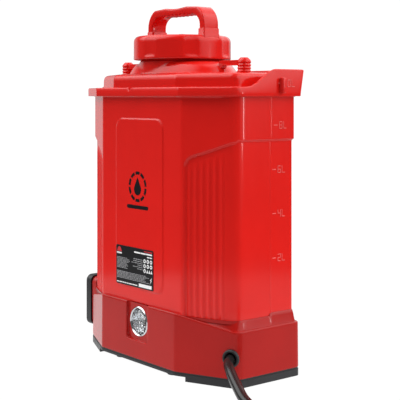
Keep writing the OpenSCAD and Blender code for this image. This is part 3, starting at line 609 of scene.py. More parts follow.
def nut_ring():
    """Hose nut with eighteen grip ribs round its middle."""
    profile = [(6.6, -4), (8.2, -4), (9.4, -2.6), (9.9, 0), (9.9, 8), (9.2, 10), (9.0, 11.6), (6.6, 11.6)]
    rings = []
    for r, x in profile:
        rib = 0.35 if 0 <= x <= 8 and r > 9 else 0
        rings.append([HANDLE @ Vector((x, (r + rib*math.cos(18*a))*math.cos(a),
                                       (r + rib*math.cos(18*a))*math.sin(a))) for a in around(108)])
    return Shape().skin(rings, looped=True).piece(
        "hose_nut_ring", "black_plastic", nodes=("hose_nut",), sharp=50)


handle_piece = handle_body()
trigger_obj = trigger_piece()
nut_piece = nut_ring()
outlet = dress("lance_outlet", "brass", 0.5)
pin = dress("trigger_pin", "steel", 0.4)

# ---- tank ---------------------------------------------------------------------------------------

BAND_X = 96
STEP_Z = 312
ARC_AT = (BAND_X + 16, 276)
EDGE = [(BAND_X, 40), (BAND_X, 268)] + [
    (ARC_AT[0] + 16*math.cos(math.radians(a)), ARC_AT[1] + 16*math.sin(math.radians(a)))
    for a in range(170, 100, -10)] + [(132, 299.5), (150, 306), (162, 310), (172, STEP_Z)]
RIB_X = [102 + 8.6*k for k in range(6)]


def edge_z(x):
    """Height of the band's lower edge above a point of the cut corner."""
    if x <= BAND_X:
        return ARC_AT[1]
    if x < ARC_AT[0]:
        return ARC_AT[1] + math.sqrt(max(0.0, 256 - (ARC_AT[0] - x)**2))
    return float(np.interp(x, [112, 132, 150, 162, 165], [292, 299.5, 306, 310, STEP_Z]))


def edge_distance(x, z):
    """How far inside the sunk, ribbed part a point of the cut corner lies."""
    best = 1e9
    for (ax, az), (bx, bz) in zip(EDGE, EDGE[1:]):
        ux, uz = bx - ax, bz - az
        t = max(0.0, min(1.0, ((x - ax)*ux + (z - az)*uz)/(ux*ux + uz*uz)))
        best = min(best, math.hypot(x - ax - ux*t, z - az - uz*t))
    return best if x > BAND_X and z < edge_z(x) else -best


def rounded_rect_depth(x, z, x0, x1, z0, z1, r):
    """How far inside a rounded rectangle a point lies."""
    cx, cz, hx, hz = (x0 + x1)/2, (z0 + z1)/2, (x1 - x0)/2 - r, (z1 - z0)/2 - r
    dx, dz = abs(x - cx) - hx, abs(z - cz) - hz
    return r - math.hypot(max(dx, 0), max(dz, 0)) - min(0, max(dx, dz))


def tank_offset(x, y, z, side):
    """How far the wall stands in (+) or out (-) at a point of the tank's plan."""
    ax = abs(x)
    if side in (1, 5) or (side in (0, 2, 4) and y < -30 and ax > 91.5):
        t = ease(edge_distance(ax, z)/3.2 + 0.5)
        deep = 3.0*t
        if t > 0.98:
            for rx in RIB_X:
                u = abs(ax - rx)/3.5
                if u < 1:
                    top = ease((edge_z(rx) - 7 - z)/9)
                    deep -= 1.5*math.cos(u*math.pi/2)**2*top
        return deep
    if side == 0:
        return -1.2*ease(rounded_rect_depth(x, z, -57, 53, 105, 338, 15)/2.2 + 0.5)
    deep = 3.0*ease((STEP_Z - z)/3.2 + 0.5)
    if side in (2, 4):
        deep -= 0.35*max(0.0, 1 - abs(y - 28)/0.8)
    return deep


def tank_cuts():
    front = [-88, -80, -72, -66, -61, -58.6, -57.8, -57.2, -56.6, -56, -55, -53, -50, -47, -44, -40, -34,
             -24, -19.5, -17.5, -16, -14, -12, -10.5, -8.5, 0, 12, 22, 30, 36, 40, 43, 46, 49, 51, 52,
             52.6, 53.2, 53.8, 54.6, 57, 62, 68, 76, 84, 89]
    a, b = -92 + 2.5, 92 - 2.5
    front = shares(front, a, b)
    cut = [k/56 for k in range(1, 56)]
    side = shares([-16, -8, 0, 8, 16, 22, 25, 26.6, 27.2, 27.6, 28, 28.4, 28.8, 29.4, 31, 36, 44, 52, 60],
                  -19.9, 65)
    back = [k/26 for k in range(1, 26)]
    return [front, cut, side, back, [1 - t for t in reversed(side)], [1 - t for t in reversed(cut)]]


CUTS = tank_cuts()
ARCS = 8


def sides_of(cuts, arcs=ARCS):
    """Which side, or corner, each point of an outline belongs to."""
    out = []
    for i, c in enumerate(cuts):
        out += [i - 0.5]*(arcs + 1) + [i]*len(c)
    return out


SIDE_OF = sides_of(CUTS)


def ring_at(plan, radii, z, t=0.0, cuts=CUTS):
    pts = outline(inset(plan, t) if t else plan, radii, cuts, ARCS)
    return [(x, y, z(x, y) if callable(z) else z) for x, y in pts]


def wall_normals(pts):
    n = len(pts)
    out = []
    for i in range(n):
        (ax, ay), (bx, by) = pts[i - 1], pts[(i + 1) % n]
        d = math.hypot(bx - ax, by - ay) or 1
        out.append(((by - ay)/d, -(bx - ax)/d))
    return out


def kind_of(side, y):
    """The side that a corner's point takes its relief from."""
    if side == int(side):
        return int(side)
    i = int(side + 0.5)
    if i in (0, 1):
        return 1 if i == 1 else 5
    if i in (2, 5):
        return (1 if i == 2 else 5) if y < -30 else (2 if i == 2 else 4)
    return 3


def rim_top(x, y):
    """Height of the rim: low along the front with a small notch, high behind."""
    z = 381 + 23.5*(1 - math.cos(math.pi*max(0.0, min(1.0, (y + 21)/51))))/2
    if y < -60:
        z -= 5*max(0.0, 1 - abs(x + 14)/3.6)
    return z


def lean(pts):
    """The rim's back wall leans out towards its top."""
    return [(x, y - 3.3 + 6.1*max(0.0, min(1.0, (z - 371)/34)) if y > 70 else y, z)
            for x, y, z in pts]


def build_tank():
    plan = outline(TANK, TANK_R, CUTS, ARCS)
    normals = wall_normals(plan)
    low = [(z - SEAT_Z)/(ARC_AT[1] - 8 - SEAT_Z) for z in (
        82, 92, 99, 102, 103.4, 104, 104.6, 105.2, 105.8, 106.4, 107.4, 109, 113, 120, 132, 146, 160,
        176, 192, 208, 224, 238, 250, 260)]
    mid = steps(-8, 4, 16)
    high = [(z - ARC_AT[1] - 4)/(RIM_Z - ARC_AT[1] - 4) for z in (
        284, 290, 300, 312, 320, 324, 327, 330, 332, 334, 335.5, 336.6, 337.2, 337.8, 338.4, 339, 340,
        343, 350, 358, 364, 367.4)]
    columns = []
    for (x, y), (nx, ny), side in zip(plan, normals, SIDE_OF):
        kind = kind_of(side, y)
        ze = edge_z(abs(x)) if kind in (0, 1, 5) else STEP_Z
        zs = [SEAT_Z + f*(ze - 8 - SEAT_Z) for f in low] + [ze + d for d in mid]
        zs += [ze + 4 + f*(RIM_Z - ze - 4) for f in high]
        col = []
        for z in zs:
            d = tank_offset(x, y, z, kind)
            col.append((x - nx*d, y - ny*d, z))
        columns.append(col)
    rings = [[c[j] for c in columns] for j in range(len(columns[0]))]
    first = rings[0]
    rings.insert(0, [(x*0.994, y*0.988, 81.6) for x, y, z in first])
    rings += [ring_at(TANK, TANK_R, 368.4, -0.5), ring_at(TANK, TANK_R, 369, -1.6)]
    for t, z in ((0.9, 369), (0.25, 369.15), (0, 369.7), (0, 373.5)):
        rings.append(lean(ring_at(RIM, RIM_R, z, t)))
    for t, dz in ((0, -1.7), (0.45, -0.5), (1.4, 0), (2.6, 0), (3.55, -0.5), (4, -1.7)):
        rings.append(lean(ring_at(RIM, RIM_R, lambda x, y: rim_top(x, y) + dz, t)))
    rings.append(lean(ring_at(RIM, RIM_R, 376, 4)))
    rings.append(lean(ring_at(RIM, RIM_R, 374, 5.4)))
    for t, z in ((-1.6, 374), (-0.4, 374.6), (0, 376), (0.1, 384), (0.3, 391), (0.7, 394.4),
                 (1.9, 397.2), (4.0, 399), (6.6, 399.8), (9, 400.1)):
        rings.append(ring_at(SHOULDER, SHOULDER_R, z, t))
    deck = rings[-1]
    angles = [math.atan2(y - NECK_Y, x) for x, y, z in deck]

    def oval(a, b, z, back):
        out = []
        for t in angles:
            r = a*b/math.hypot(b*math.cos(t), a*math.sin(t))
            r = max(r, 60 if z >= 400 else r)
            out.append((r*math.cos(t), min(NECK_Y + r*math.sin(t), back), z))
        return out

    for a, b, z, back in ((98, 60.8, 400.2, 55.2), (95.8, 60.3, 400.9, 55), (94.8, 60.1, 402, 54.8),
                          (93, 59.5, 404, 54.6), (91, 58.5, 406.5, 54.4), (88, 57.5, 409, 54.2),
                          (84.5, 56.5, 411.6, 54), (80, 55, 414, 53.8), (75, 52, 415.9, 53.6),
                          (70, 48, 416.8, 53.4)):
        rings.append(oval(a, b, z, back + 12))
    for r, z in ((60, 417), (58.9, 417.5), (NECK, 419), (NECK, 427.2), (NECK + 2.6, 428),
                 (NECK + 2.6, 430), (NECK, 431), (NECK, 434.2), (NECK + 2.6, 435), (NECK + 2.6, 437),
                 (NECK, 438), (NECK, 443.2), (NECK - 0.8, 444), (NECK - 3.2, 444), (NECK - 4, 443.2),
                 (NECK - 4, 396), (NECK - 4, 375)):
        rings.append([(r*math.cos(t), NECK_Y + r*math.sin(t), z) for t in angles])
    for t, z in ((12, 370), (6.6, 366), (6.6, 110), (12, 98)):
        rings.append(ring_at(TANK, TANK_R, z, t))
    shape = Shape().skin(rings)
    for s in (-1, 1):
        lo, hi = sorted((s*171.5, s*180.2))
        shape.box((lo, 34, 373), (hi, 40, 393), 1.2)
    shape.piece("tank_body", "tank_plastic", nodes=("tank",), sharp=46)


build_tank()

# Marks on both sides: a dash and a number of litres at every two litres.
STROKES = {"0": "abcdef", "1": "bc", "2": "abged", "4": "fgbc", "6": "afgedc", "8": "abcdefg", "L": "fed"}
BARS = {"a": (0, 1, 1, 1), "b": (1, 0.5, 1, 1), "c": (1, 0, 1, 0.5), "d": (0, 0, 1, 0),
        "e": (0, 0, 0, 0.5), "f": (0, 0.5, 0, 1), "g": (0, 0.5, 1, 0.5)}


def graduations():
    shape = Shape()
    marks = [("2", 157.8, 162.05), ("4", 215.9, 162.05), ("6", 273.5, 162.05), ("8", 331.5, 165.05),
             ("10", 386, 173.05)]
    height, width, stroke = 8.6, 4.6, 0.9
    for s in (-1, 1):
        for text, z, x in marks:
            lo, hi = sorted((s*(x - 0.5), s*(x + 0.35)))
            shape.box((lo, 31, z - 0.6), (hi, 37.5, z + 0.6), 0.25, 1)
            for k, sign in enumerate(text + "L"):
                left = 41 + k*7.4
                mirror = 2*left + width*len(text)
                for bar in STROKES[sign]:
                    u0, v0, u1, v1 = BARS[bar]
                    y0, z0 = left + u0*width, z - height/2 + v0*height
                    y1, z1 = left + u1*width, z - height/2 + v1*height
                    if s < 0:
                        y0, y1 = mirror - y0, mirror - y1
                    h = stroke/2
                    shape.box((lo, min(y0, y1) - h, min(z0, z1) - h),
                              (hi, max(y0, y1) + h, max(z0, z1) + h), 0.2, 1)
    shape.piece("litre_marks", "tank_plastic", mat=PRINT["mark"], weld=False)


graduations()

# ---- base ---------------------------------------------------------------------------------------

BASE_CUTS = [shares([-80, -70, -60, -48, -38, -30, -26.4, -25.2, -24.4, -23.6, -22.8, -21.8, -20.6, -19,
                     -12, -4, 4, 12, 19, 20.6, 21.8, 22.8, 23.6, 24.4, 25.2, 26.4, 30, 38, 48, 60, 70,
                     80], -82.5, 82.5),
             [k/26 for k in range(1, 26)],
             shares([-16, -8, 0, 8, 16, 21, 23, 24, 25, 26, 27, 28, 29, 30, 32, 36, 44, 52, 60, 66],
                    -22.8, 68),
             [k/30 for k in range(1, 30)]]
BASE_CUTS += [[1 - t for t in reversed(BASE_CUTS[2])], [1 - t for t in reversed(BASE_CUTS[1])]]


LAMP = Matrix.Translation((0, -65, 61)) @ Matrix.Rotation(math.pi/2, 4, "X")     # +Z towards -Y


def wall_top(y):
    return 71.5 + 15.5*(1 - min(1.0, max(0.0, (y + 70)/35)))


def ledge_top(x, y):
    """Where the base's shoulder meets the tank: raised behind the mould's seam."""
    raised = 3.4*ease((y - 23.5)/4.5) if abs(x) > 120 else 0.0
    return max(84 + raised, wall_top(y) + 0.3)


POCKET = 4.2


def pocket(pts, depth=POCKET):
    """Sinks the lamp's pocket into the front wall."""
    out = []
    for x, y, z in pts:
        if y < -61 and abs(x) < 30:
            d = ease(rounded_rect_depth(x, min(z, 70), -24, 24, 36, 120, 4.5)/1.4 + 0.5)
            y += (max(y, -71 + depth) - y)*d
        out.append((x, y, z))
    return out


def build_base():
    def ring(z, t=0.0):
        return pocket(ring_at(BASE, BASE_R, z, t, BASE_CUTS))
    rings = [ring(11, 3), ring(11, 0.7), ring(11.5, 0.15), ring(12.2)]
    zs = [16, 22, 28, 32, 34, 35, 35.6, 36.2, 36.8, 37.6, 39, 41, 46, 54, 60]
    rings += [ring(z, 0.006*(z - 10)) for z in zs]
    for f in (0.3, 0.6, 0.85):
        rings.append(ring(lambda x, y, f=f: 60 + (wall_top(y) - 3.4 - 60)*f, 0.35))
    for t, dz in ((0.4, -3.2), (0.45, -2.0), (0.75, -1.0), (1.3, -0.3), (2.0, 0.0)):
        rings.append(ring(lambda x, y, dz=dz: wall_top(y) + dz, t))
    for t, f in ((2.9, 0.02), (3.6, 0.15), (4.9, 0.72), (5.7, 0.95)):
        rings.append(ring(lambda x, y, f=f: wall_top(y) + (ledge_top(x, y) - wall_top(y))*f, t))
    foot = six(91.2, -65.3, 162.2, 31.1, 67.2)
    for t, dz in ((-0.15, 0.0), (0.0, -0.5), (0.1, -4)):
        rings.append(ring_at(foot, TANK_R, lambda x, y, dz=dz: ledge_top(x, y) + dz, t, BASE_CUTS))
    rings.append(ring_at(foot, TANK_R, 79.5, 0.3, BASE_CUTS))
    rings.append(ring_at(foot, TANK_R, 79, 3.0, BASE_CUTS))
    outer = Shape().skin(rings)
    inner_rings = [[(x, max(y, -62.2) if abs(x) < 28 else y, z) for x, y, z in
                    ring_at(BASE, BASE_R, z, t, BASE_CUTS)]
                   for z, t in ((5, 3), (66, 3), (72, 8), (76, 12))]
    inner = Shape().skin(inner_rings)
    obj = outer.piece("base_shell", "base_plastic", nodes=("base_housing",), sharp=46)
    place = Matrix.Translation(EXIT) @ CUT.to_track_quat("Z", "Y").to_matrix().to_4x4()
    hole = Shape().turned([(9.3, -20), (9.3, 12)], place, 48)
    window = Shape().turned([(18.9, -10), (18.9, 12)], LAMP, 64)
    tools = [link(name, tool.mesh(name)) for name, tool in
             (("base_inside", inner), ("hose_hole", hole), ("lamp_hole", window))]
    for tool in tools:
        cut = obj.modifiers.new("cut", "BOOLEAN")
        cut.object = tool
        cut.operation = "DIFFERENCE"
        cut.solver = "EXACT"
    bake(obj)
    smooth(obj.data, 40)
    for tool in tools:
        bpy.data.objects.remove(tool)
    obj.data.materials.clear()
    obj.data.materials.append(MATS["base_plastic"])


def build_lip():
    """The dark band between the bottom plate and the base's shell."""
    lip = [ring_at(BASE, BASE_R, z, t, BASE_CUTS)
           for z, t in ((8.8, 3), (8.8, 0.5), (11.2, 0.5), (11.2, 3))]
    Shape().skin(lip, looped=True).piece("base_lip", "black_rubber")


def build_control_block():
    """The block on the base's left side that carries the control panel."""
    rings = []
    for x, t in ((-180, 1.0), (-178.8, 0), (-168.4, 0)):
        pts = outline([(-27 + t, 22 + t), (51 - t, 22 + t), (51 - t, 94 - t), (-27 + t, 94 - t)],
                      [9]*4, [[]]*4, 8)
        rings.append([(x, y, z) for y, z in pts])
    Shape().skin(rings).piece("control_block", "base_plastic")


build_base()
build_lip()
build_control_block()

# ---- cap and carrying handle --------------------------------------------------------------------

CAP_R = 68.5
CAP_TOP = 453
FLUTES = 7
FLUTE_TURN = math.radians(-27.2)
FLUTE_HALF = 10.5        # half a flute's width along the rim
FOOT_X = 65              # how far the handle's feet stand from the middle


def build_cap():
    profile = [(66.6, 420), (67.9, 420.2), (68.5, 421), (68.5, 422.6), (68.5, 424), (68.5, 425.5),
               (68.5, 428), (68.5, 432), (68.5, 436), (68.5, 440), (68.5, 443), (68.45, 445.2),
               (68.1, 447.2), (67.2, 449.2), (65.8, 450.9), (64.2, 452.1), (62.2, 452.8), (60, 453),
               (56, 453), (50, 453.1), (35, 453.3), (12, 453.4), (3.05, 453.4), (3.05, 449.5), (40, 449.5),
               (62.6, 449.4), (63.8, 448), (64, 440), (64, 424), (64.3, 420.6), (65, 420)]
    n = FLUTES*36
    rings = []
    for r, z in profile:
        ring = []
        for k in range(n):
            a = 2*math.pi*k/n
            u = ((a - FLUTE_TURN + math.pi/FLUTES) % (2*math.pi/FLUTES) - math.pi/FLUTES)*CAP_R
            depth = 0.0
            if r > 64.5:
                share = 1 - (abs(u)/FLUTE_HALF)**2 if abs(u) < FLUTE_HALF else 0.0
                top = 450.5 - 2.2*(1 - share)
                depth = 1.25*share**0.75*ease((z - 423)/2.0)*ease((top + 1.5 - z)/3.0)
            ring.append(((r - depth)*math.cos(a), NECK_Y + (r - depth)*math.sin(a), z))
        rings.append(ring)
    shape = Shape().skin(rings, looped=True)
    for s in (-1, 1):
        pts = []
        for z, t in ((446, 0), (453.6, 0), (454.6, 0.5), (461, 0.5), (461.8, 0.8), (462, 1.6)):
            pts.append([(s*(FOOT_X - 5.8) + x, NECK_Y + y, z) for x, y in outline(
                [(-7.6 + t, -14.2 + t), (7.6 - t, -14.2 + t), (7.6 - t, 14.2 - t), (-7.6 + t, 14.2 - t)],
                [2.6]*4, [[]]*4, 6)])
        shape.skin(pts)
    shape.piece("cap_body", "tank_plastic", "cap", ("cap",), sharp=42)


def handle_lines():
    """Outer and inner outlines of the handle, from the left foot over the grip to the right."""
    def grip(x):
        return CAP_TOP + 38 + 4*math.sin(math.radians(min(90, abs(x)*2.7)))**2

    def whole(left, middle):
        return left + middle + [(-x, z) for x, z in reversed(left)]

    def foot(x):
        return [(-x, CAP_TOP + dz) for dz in (5, 9, 14)]

    reach = FOOT_X - 36
    leg = FOOT_X - 10.6
    outer = foot(FOOT_X) + [(-36 - reach*math.cos(math.radians(a)),
                             CAP_TOP + 14 + 28*math.sin(math.radians(a))) for a in range(9, 72, 9)]
    inner = foot(leg) + [(-34 - (leg - 34)*math.cos(math.radians(a)),
                          CAP_TOP + 14 + 16*math.sin(math.radians(a))) for a in np.linspace(14, 76, 7)]
    outer = whole(outer, [(x, grip(x)*0.5 + (CAP_TOP + 42)*0.5 - 1) for x in range(-24, 25, 2)])
    inner = whole(inner, [(x*1.2, CAP_TOP + 29.8 - 0.9*math.cos(math.radians(x*1.2*40)))
                          for x in range(-24, 25, 2)])
    return outer, inner


def build_handle():
    outer, inner = handle_lines()
    rings = []
    for (ox, oz), (ix, iz) in zip(outer, inner):
        mid = Vector(((ox + ix)/2, (oz + iz)/2))
        half = Vector((ox - ix, oz - iz))/2
        thick = half.length
        ring = []
        for u, v in outline([(-13.2, -thick), (13.2, -thick), (13.2, thick), (-13.2, thick)],
                            [2.4]*4, [[0.25, 0.5, 0.75], [0.5]]*2, 4):
            p = mid + half*(v/thick)
            ring.append((p.x, NECK_Y + u, p.y))
        rings.append(ring)
    Shape().skin(rings).piece("carry_handle", "tank_plastic", "cap", ("cap_handle",), sharp=60)


build_cap()
build_handle()

# ---- lamp ---------------------------------------------------------------------------------------

Shape().turned([(17.2, -3), (17.4, 1.0), (18.0, 2.2), (19.2, 2.9), (20.4, 2.3), (21.1, 1.0), (21.1, 0.5),
                (19.1, 0.4), (19, -3)], LAMP, 64, looped=True).piece(
    "lamp_ring", "lamp_chrome", nodes=("lamp_bezel",), sharp=50)
dish = [(4.2, -13.6)] + [(4.2 + 12.9*math.sqrt(k/10), -13.6 + 11.8*k/10) for k in range(1, 11)]
dish += [(17.2, -1.2), (16.6, -3.0)]
dish += [(3.6 + 12.4*math.sqrt(k/10), -14.6 + 11.6*k/10) for k in range(9, 0, -1)]
Shape().turned(dish, LAMP, 64, looped=True).piece(
    "lamp_mirror", "lamp_chrome", nodes=("lamp_reflector",), sharp=60)
lens_profile = [(0.01, -0.6), (16.9, -0.6), (17.1, 0.2), (16.8, 1.0), (15.4, 2.0), (12.5, 3.3), (8.5, 4.4),
                (4, 5.1), (0.01, 5.3)]
Shape().turned(lens_profile, LAMP, 64).piece("lamp_window", "lens_clear", nodes=("lamp_lens",), sharp=60)
board = Shape().turned([(0.01, -14.2), (10.8, -14.2), (10.8, -15.8), (0.01, -15.8)], LAMP, 40)
board.piece("lamp_board_disc", "circuit_board", nodes=("lamp_board",), bevel=0.2)
Shape().turned([(0.01, -14.2), (2.4, -14.2), (2.3, -13.2), (1.4, -12.3), (0.01, -12.0)], LAMP, 24).piece(
    "lamp_led", "circuit_board", mat=PRINT["led"])

# ---- hose gland -----------------------------------------------------------------------------------

GLAND = Matrix.Translation(EXIT) @ CUT.to_track_quat("Z", "Y").to_matrix().to_4x4()
Shape().turned([(7.3, -6), (7.3, 1.6), (7.7, 3.0), (8.8, 4.2), (10.2, 4.1), (11.3, 3.0), (11.6, 1.2),
                (11.4, 0.25), (9.2, 0.2), (9.1, -6)], GLAND, 56, looped=True).piece(
    "hose_gland", "black_rubber", nodes=("hose_grommet",), sharp=60)

# ---- label and emblem ---------------------------------------------------------------------------

FACE_Y = -66.2           # front face of the raised panel


def flat_print(name, color, rects, y=FACE_Y - 0.6, thick=0.12, rounds=()):
    """Thin printed marks on the front: rectangles (x0, z0, x1, z1) and closed outlines."""
    shape = Shape()
    for x0, z0, x1, z1 in rects:
        shape.skin([[(x0, yy, z0), (x1, yy, z0), (x1, yy, z1), (x0, yy, z1)]
                    for yy in (y + 0.04, y - thick)])
    for pts in rounds:
        shape.skin([[(x, yy, z) for x, z in pts] for yy in (y + 0.04, y - thick)])
    shape.piece(name, "label_film", mat=PRINT[color], weld=False)


def circle(cx, cz, r, n=24):
    return [(cx + r*math.cos(t), cz + r*math.sin(t)) for t in around(n)]


def label_prints():
    """Rows of short bars in place of the label's small print, and blank round symbols."""
    grey, white = [], []
    for row in range(17):
        z = 143.6 - row*1.75
        if row in (9, 10):
            continue
        stop = -27 + rng.uniform(-4, 6) if row < 9 else 24 + rng.uniform(-12, 4)
        x = -52.6
        while x < stop:
            w = rng.uniform(2.2, 6.5)
            grey.append((x, z, min(x + w, stop), z + 0.85))
            x += w + 0.9
    for row in range(6):
        z = 145.4 - row*2.6
        x = 2 - rng.uniform(4, 20)
        while x < 8:
            w = rng.uniform(2, 5)
            grey.append((x, z, min(x + w, 8.6), z + 0.95))
            x += w + 1.0
    x = -53
    while x < -4:
        w = rng.uniform(2.5, 7)
        white.append((x, 109.2, min(x + w, -3.4), 110.6))
        x += w + 1.1
    for x0, x1 in ((-11, 3), (4, 16), (17, 30.5)):
        white.append((x0, 154.0, x1, 156.0))
    white += [(19, 150.2, 24, 151.7), (25, 150.2, 30.5, 151.7), (0, 108.8, 29.5, 113.4),
              (-53, 149.2, -41, 151.2)]
    discs = [circle(cx, cz, 2.7) for cz in (145.2, 138.6, 132.0) for cx in (13.4, 20.8, 28.2)
             if not (cz == 132.0 and cx > 14)]
    for cx in (19.6, 24.4, 29.0):
        discs.append([(cx - 2.1, 129.6), (cx + 2.1, 129.6), (cx, 134.2)])
    discs.append([(26.4, 116.4), (30, 120.4), (28.4, 120.8), (30.4, 124.6), (26, 120.8), (27.8, 120.2)])
    flat_print("label_lines", "grey", grey)
    flat_print("label_blocks", "white", white, rounds=discs)
    inner = [circle(cx, cz, 1.15, 16) for cz in (145.2, 138.6) for cx in (13.4, 20.8, 28.2)]
    inner.append(circle(13.4, 132.0, 1.15, 16))
    flat_print("label_symbols", "black", [], FACE_Y - 0.7, rounds=inner)
    flat_print("label_mark", "red", [(12, 157.4, 19, 158.8), (20, 157.4, 30.5, 158.8)],
               rounds=[[(-53, 152.4), (-41, 152.4), (-43.5, 157.2), (-47, 159.2), (-50.5, 157.2)]])


dress("label_plate", "label_film", 0.15, name="label_skin")
label_prints()


def emblem():
    """A plain droplet inside a broken ring over a bar: a generic mark for a sprayer."""
    cx, cz = -4, 245
    drop = [(cx + 8.2*math.cos(t), cz - 3.6 + 8.2*math.sin(t))
            for t in np.linspace(math.radians(148), math.radians(392), 33)] + [(cx, cz + 13)]
    parts = [drop]
    for k in range(10):
        a0 = math.radians(36*k + 4)
        a1 = math.radians(36*k + 32)
        arc = [(cx + 21*math.cos(t), cz + 21*math.sin(t)) for t in np.linspace(a0, a1, 8)]
        arc += [(cx + 16.8*math.cos(t), cz + 16.8*math.sin(t)) for t in np.linspace(a1, a0, 8)]
        parts.append(arc)
    bar = [(cx + s*22.5 + 2.6*math.cos(t), 217 + 2.6*math.sin(t))
           for s, lo, hi in ((1, -90, 90), (-1, 90, 270)) for t in np.radians(np.linspace(lo, hi, 9))]
    parts.append(bar)
    flat_print("front_emblem", "black", [], FACE_Y, 0.15, parts)


emblem()

# ---- carried-over nodes with rounded edges ------------------------------------------------------

for node, slot, width in (
        ("bottom_plate", "black_plastic", 0.8), ("rubber_feet", "black_rubber", 0.8),
        ("lance_hanger_left", "tank_plastic", 0.9), ("lance_hanger_right", "tank_plastic", 0.9),
        ("vent_valve", "black_rubber", 0.3), ("cap_gasket", "black_rubber", 0.5),
        ("strainer_basket", "black_plastic", 0.4), ("tank_outlet", "black_plastic", 0.4),
        ("outlet_washer", "black_rubber", 0.3), ("base_screws", "steel", 0.3),
        ("bracket_screws", "steel", 0.3), ("control_panel", "black_plastic", 0.8),
        ("panel_screws", "dark_metal", 0.25), ("power_rocker", "rocker_red", 0.4),
        ("speed_knob", "black_plastic", 0.4), ("speed_potentiometer", "steel", 0.3),
        ("charge_socket", "black_plastic", 0.3), ("charge_cap", "black_rubber", 0.4),
        ("charge_gauge", "gauge_glass", 0.3), ("lamp_button", "black_rubber", 0.7),
        ("lamp_switch", "pump_plastic", 0.3), ("battery", "battery_case", 1.5),
        ("battery_clamp", "dark_metal", 0.4), ("pump_motor", "dark_metal", 0.8),
        ("pump_head", "pump_plastic", 1.2), ("pump_shaft", "steel", 0.3),
        ("pump_bracket", "dark_metal", 0.4), ("pressure_switch", "black_plastic", 0.4),
        ("suction_hose", "clear_tube", 0.4), ("feed_hose", "hose_rubber", 0.0),
        ("battery_leads", "wire_red", 0.0),
        ("strap_bracket_left", "black_plastic", 0.5), ("strap_bracket_right", "black_plastic", 0.5),
        ("strap_buckle_left", "black_plastic", 0.6), ("strap_buckle_right", "black_plastic", 0.6),
        ("strap_anchor_left", "dark_metal", 0.6), ("strap_anchor_right", "dark_metal", 0.6)):
    dress(node, slot, width)

# ---- controls -------------------------------------------------------------------------------------

PANEL_X = -190           # the sunk face that carries the controls


def on_panel(name, slot, build, body=ROOT, mat=None):
    shape = Shape()
    build(shape)
    shape.piece(name, slot, body, mat=mat)


on_panel("knob_pointer", "black_plastic",
         lambda s: s.box((PANEL_X - 9.9, 29.3, 73), (PANEL_X - 9.2, 30.7, 80), 0.15, 1),
         "speed_knob", PRINT["white"])


def knob_scale(shape):
    for k in range(11):
        a = math.radians(-45 + 27*k)
        c, s = math.cos(a), math.sin(a)
        x0, x1 = PANEL_X - 0.2, PANEL_X + 0.1
        y, z, h = 30, 70, 0.35
        r0, r1 = 13.2, 13.8 + 1.6*k/10
        pts = [(y + r0*c - h*s, z + r0*s + h*c), (y + r1*c - h*s, z + r1*s + h*c),
               (y + r1*c + h*s, z + r1*s - h*c), (y + r0*c + h*s, z + r0*s - h*c)]
        shape.skin([[(x, py, pz) for py, pz in pts] for x in (x1, x0)])


on_panel("knob_scale", "black_plastic", knob_scale, mat=PRINT["white"])
on_panel("rocker_marks", "rocker_red",
         lambda s: s.box((PANEL_X - 4.9, -6.6, 78.8), (PANEL_X - 4.4, -5.4, 82)),
         "power_rocker", PRINT["white"])


def gauge_bars(shape):
    for k in range(4):
        shape.box((PANEL_X - 0.75, 25.4 + 2.5*k, 34.4), (PANEL_X - 0.5, 27.2 + 2.5*k, 36 + 1.5*k), 0)


on_panel("gauge_bars", "gauge_glass", gauge_bars, mat=PRINT["led"])
on_panel("rocker_frame", "black_plastic", lambda s: [
    s.box((PANEL_X - 0.9, y0, z0), (PANEL_X + 0.2, y1, z1), 0.3, 1) for y0, y1, z0, z1 in
    ((-14.6, -13.2, 61.6, 86.4), (1.2, 2.6, 61.6, 86.4), (-13.3, 1.3, 61.6, 62.9), (-13.3, 1.3, 85.1, 86.4))])

# ---- shoulder straps --------------------------------------------------------------------------

PAD = [(74, 92, 356), (75, 98, 338), (77, 103, 314), (79, 106, 285), (82, 107, 250), (86, 105, 215),
       (90, 102, 185)]
WEB = [(91, 100.6, 176), (95, 98, 155), (101, 94, 128), (108, 91, 100), (115, 89, 74), (120, 87, 46)]


def through(points, per):
    """A smooth line through chosen points."""
    p = [Vector(q) for q in points]
    out = []
    for i in range(len(p) - 1):
        a = p[i - 1] if i else 2*p[0] - p[1]
        b, c = p[i], p[i + 1]
        d = p[i + 2] if i + 2 < len(p) else 2*p[-1] - p[-2]
        for k in range(per):
            t = k/per
            out.append(0.5*(2*b + (c - a)*t + (2*a - 5*b + 4*c - d)*t*t + (3*b - a - 3*c + d)*t**3))
    return out + [p[-1]]


def frames(line):
    """At each point of a line: the point, its sideways direction and its outward direction."""
    out = []
    for i, p in enumerate(line):
        t = (line[min(i + 1, len(line) - 1)] - line[max(i - 1, 0)]).normalized()
        side = Vector((0, 1, 0.01)).cross(t).normalized()
        out.append((p, side, t.cross(side)))
    return out


PAD_FRAMES = frames(through(PAD, 8))
PAD_HALF = 25.5          # half the pad's width


def pad_half(end):
    """Half the pad's width, a number of rings from its end: the ends narrow a little."""
    return PAD_HALF*(0.80 + 0.20*min(1, end/6))


def pad_form(half_t):
    """The pad before it is stuffed: a long rounded slab."""
    rings = []
    last = len(PAD_FRAMES) - 1
    for i, (p, side, out) in enumerate(PAD_FRAMES):
        end = min(i, last - i)
        w = pad_half(end) - (2.5 if end == 0 else 0)
        t = half_t*(0.62 if end == 0 else 1)
        rings.append([p + side*u + out*v for u, v in loop(w, t, 3.4, 40)])
    return Shape().skin(rings)


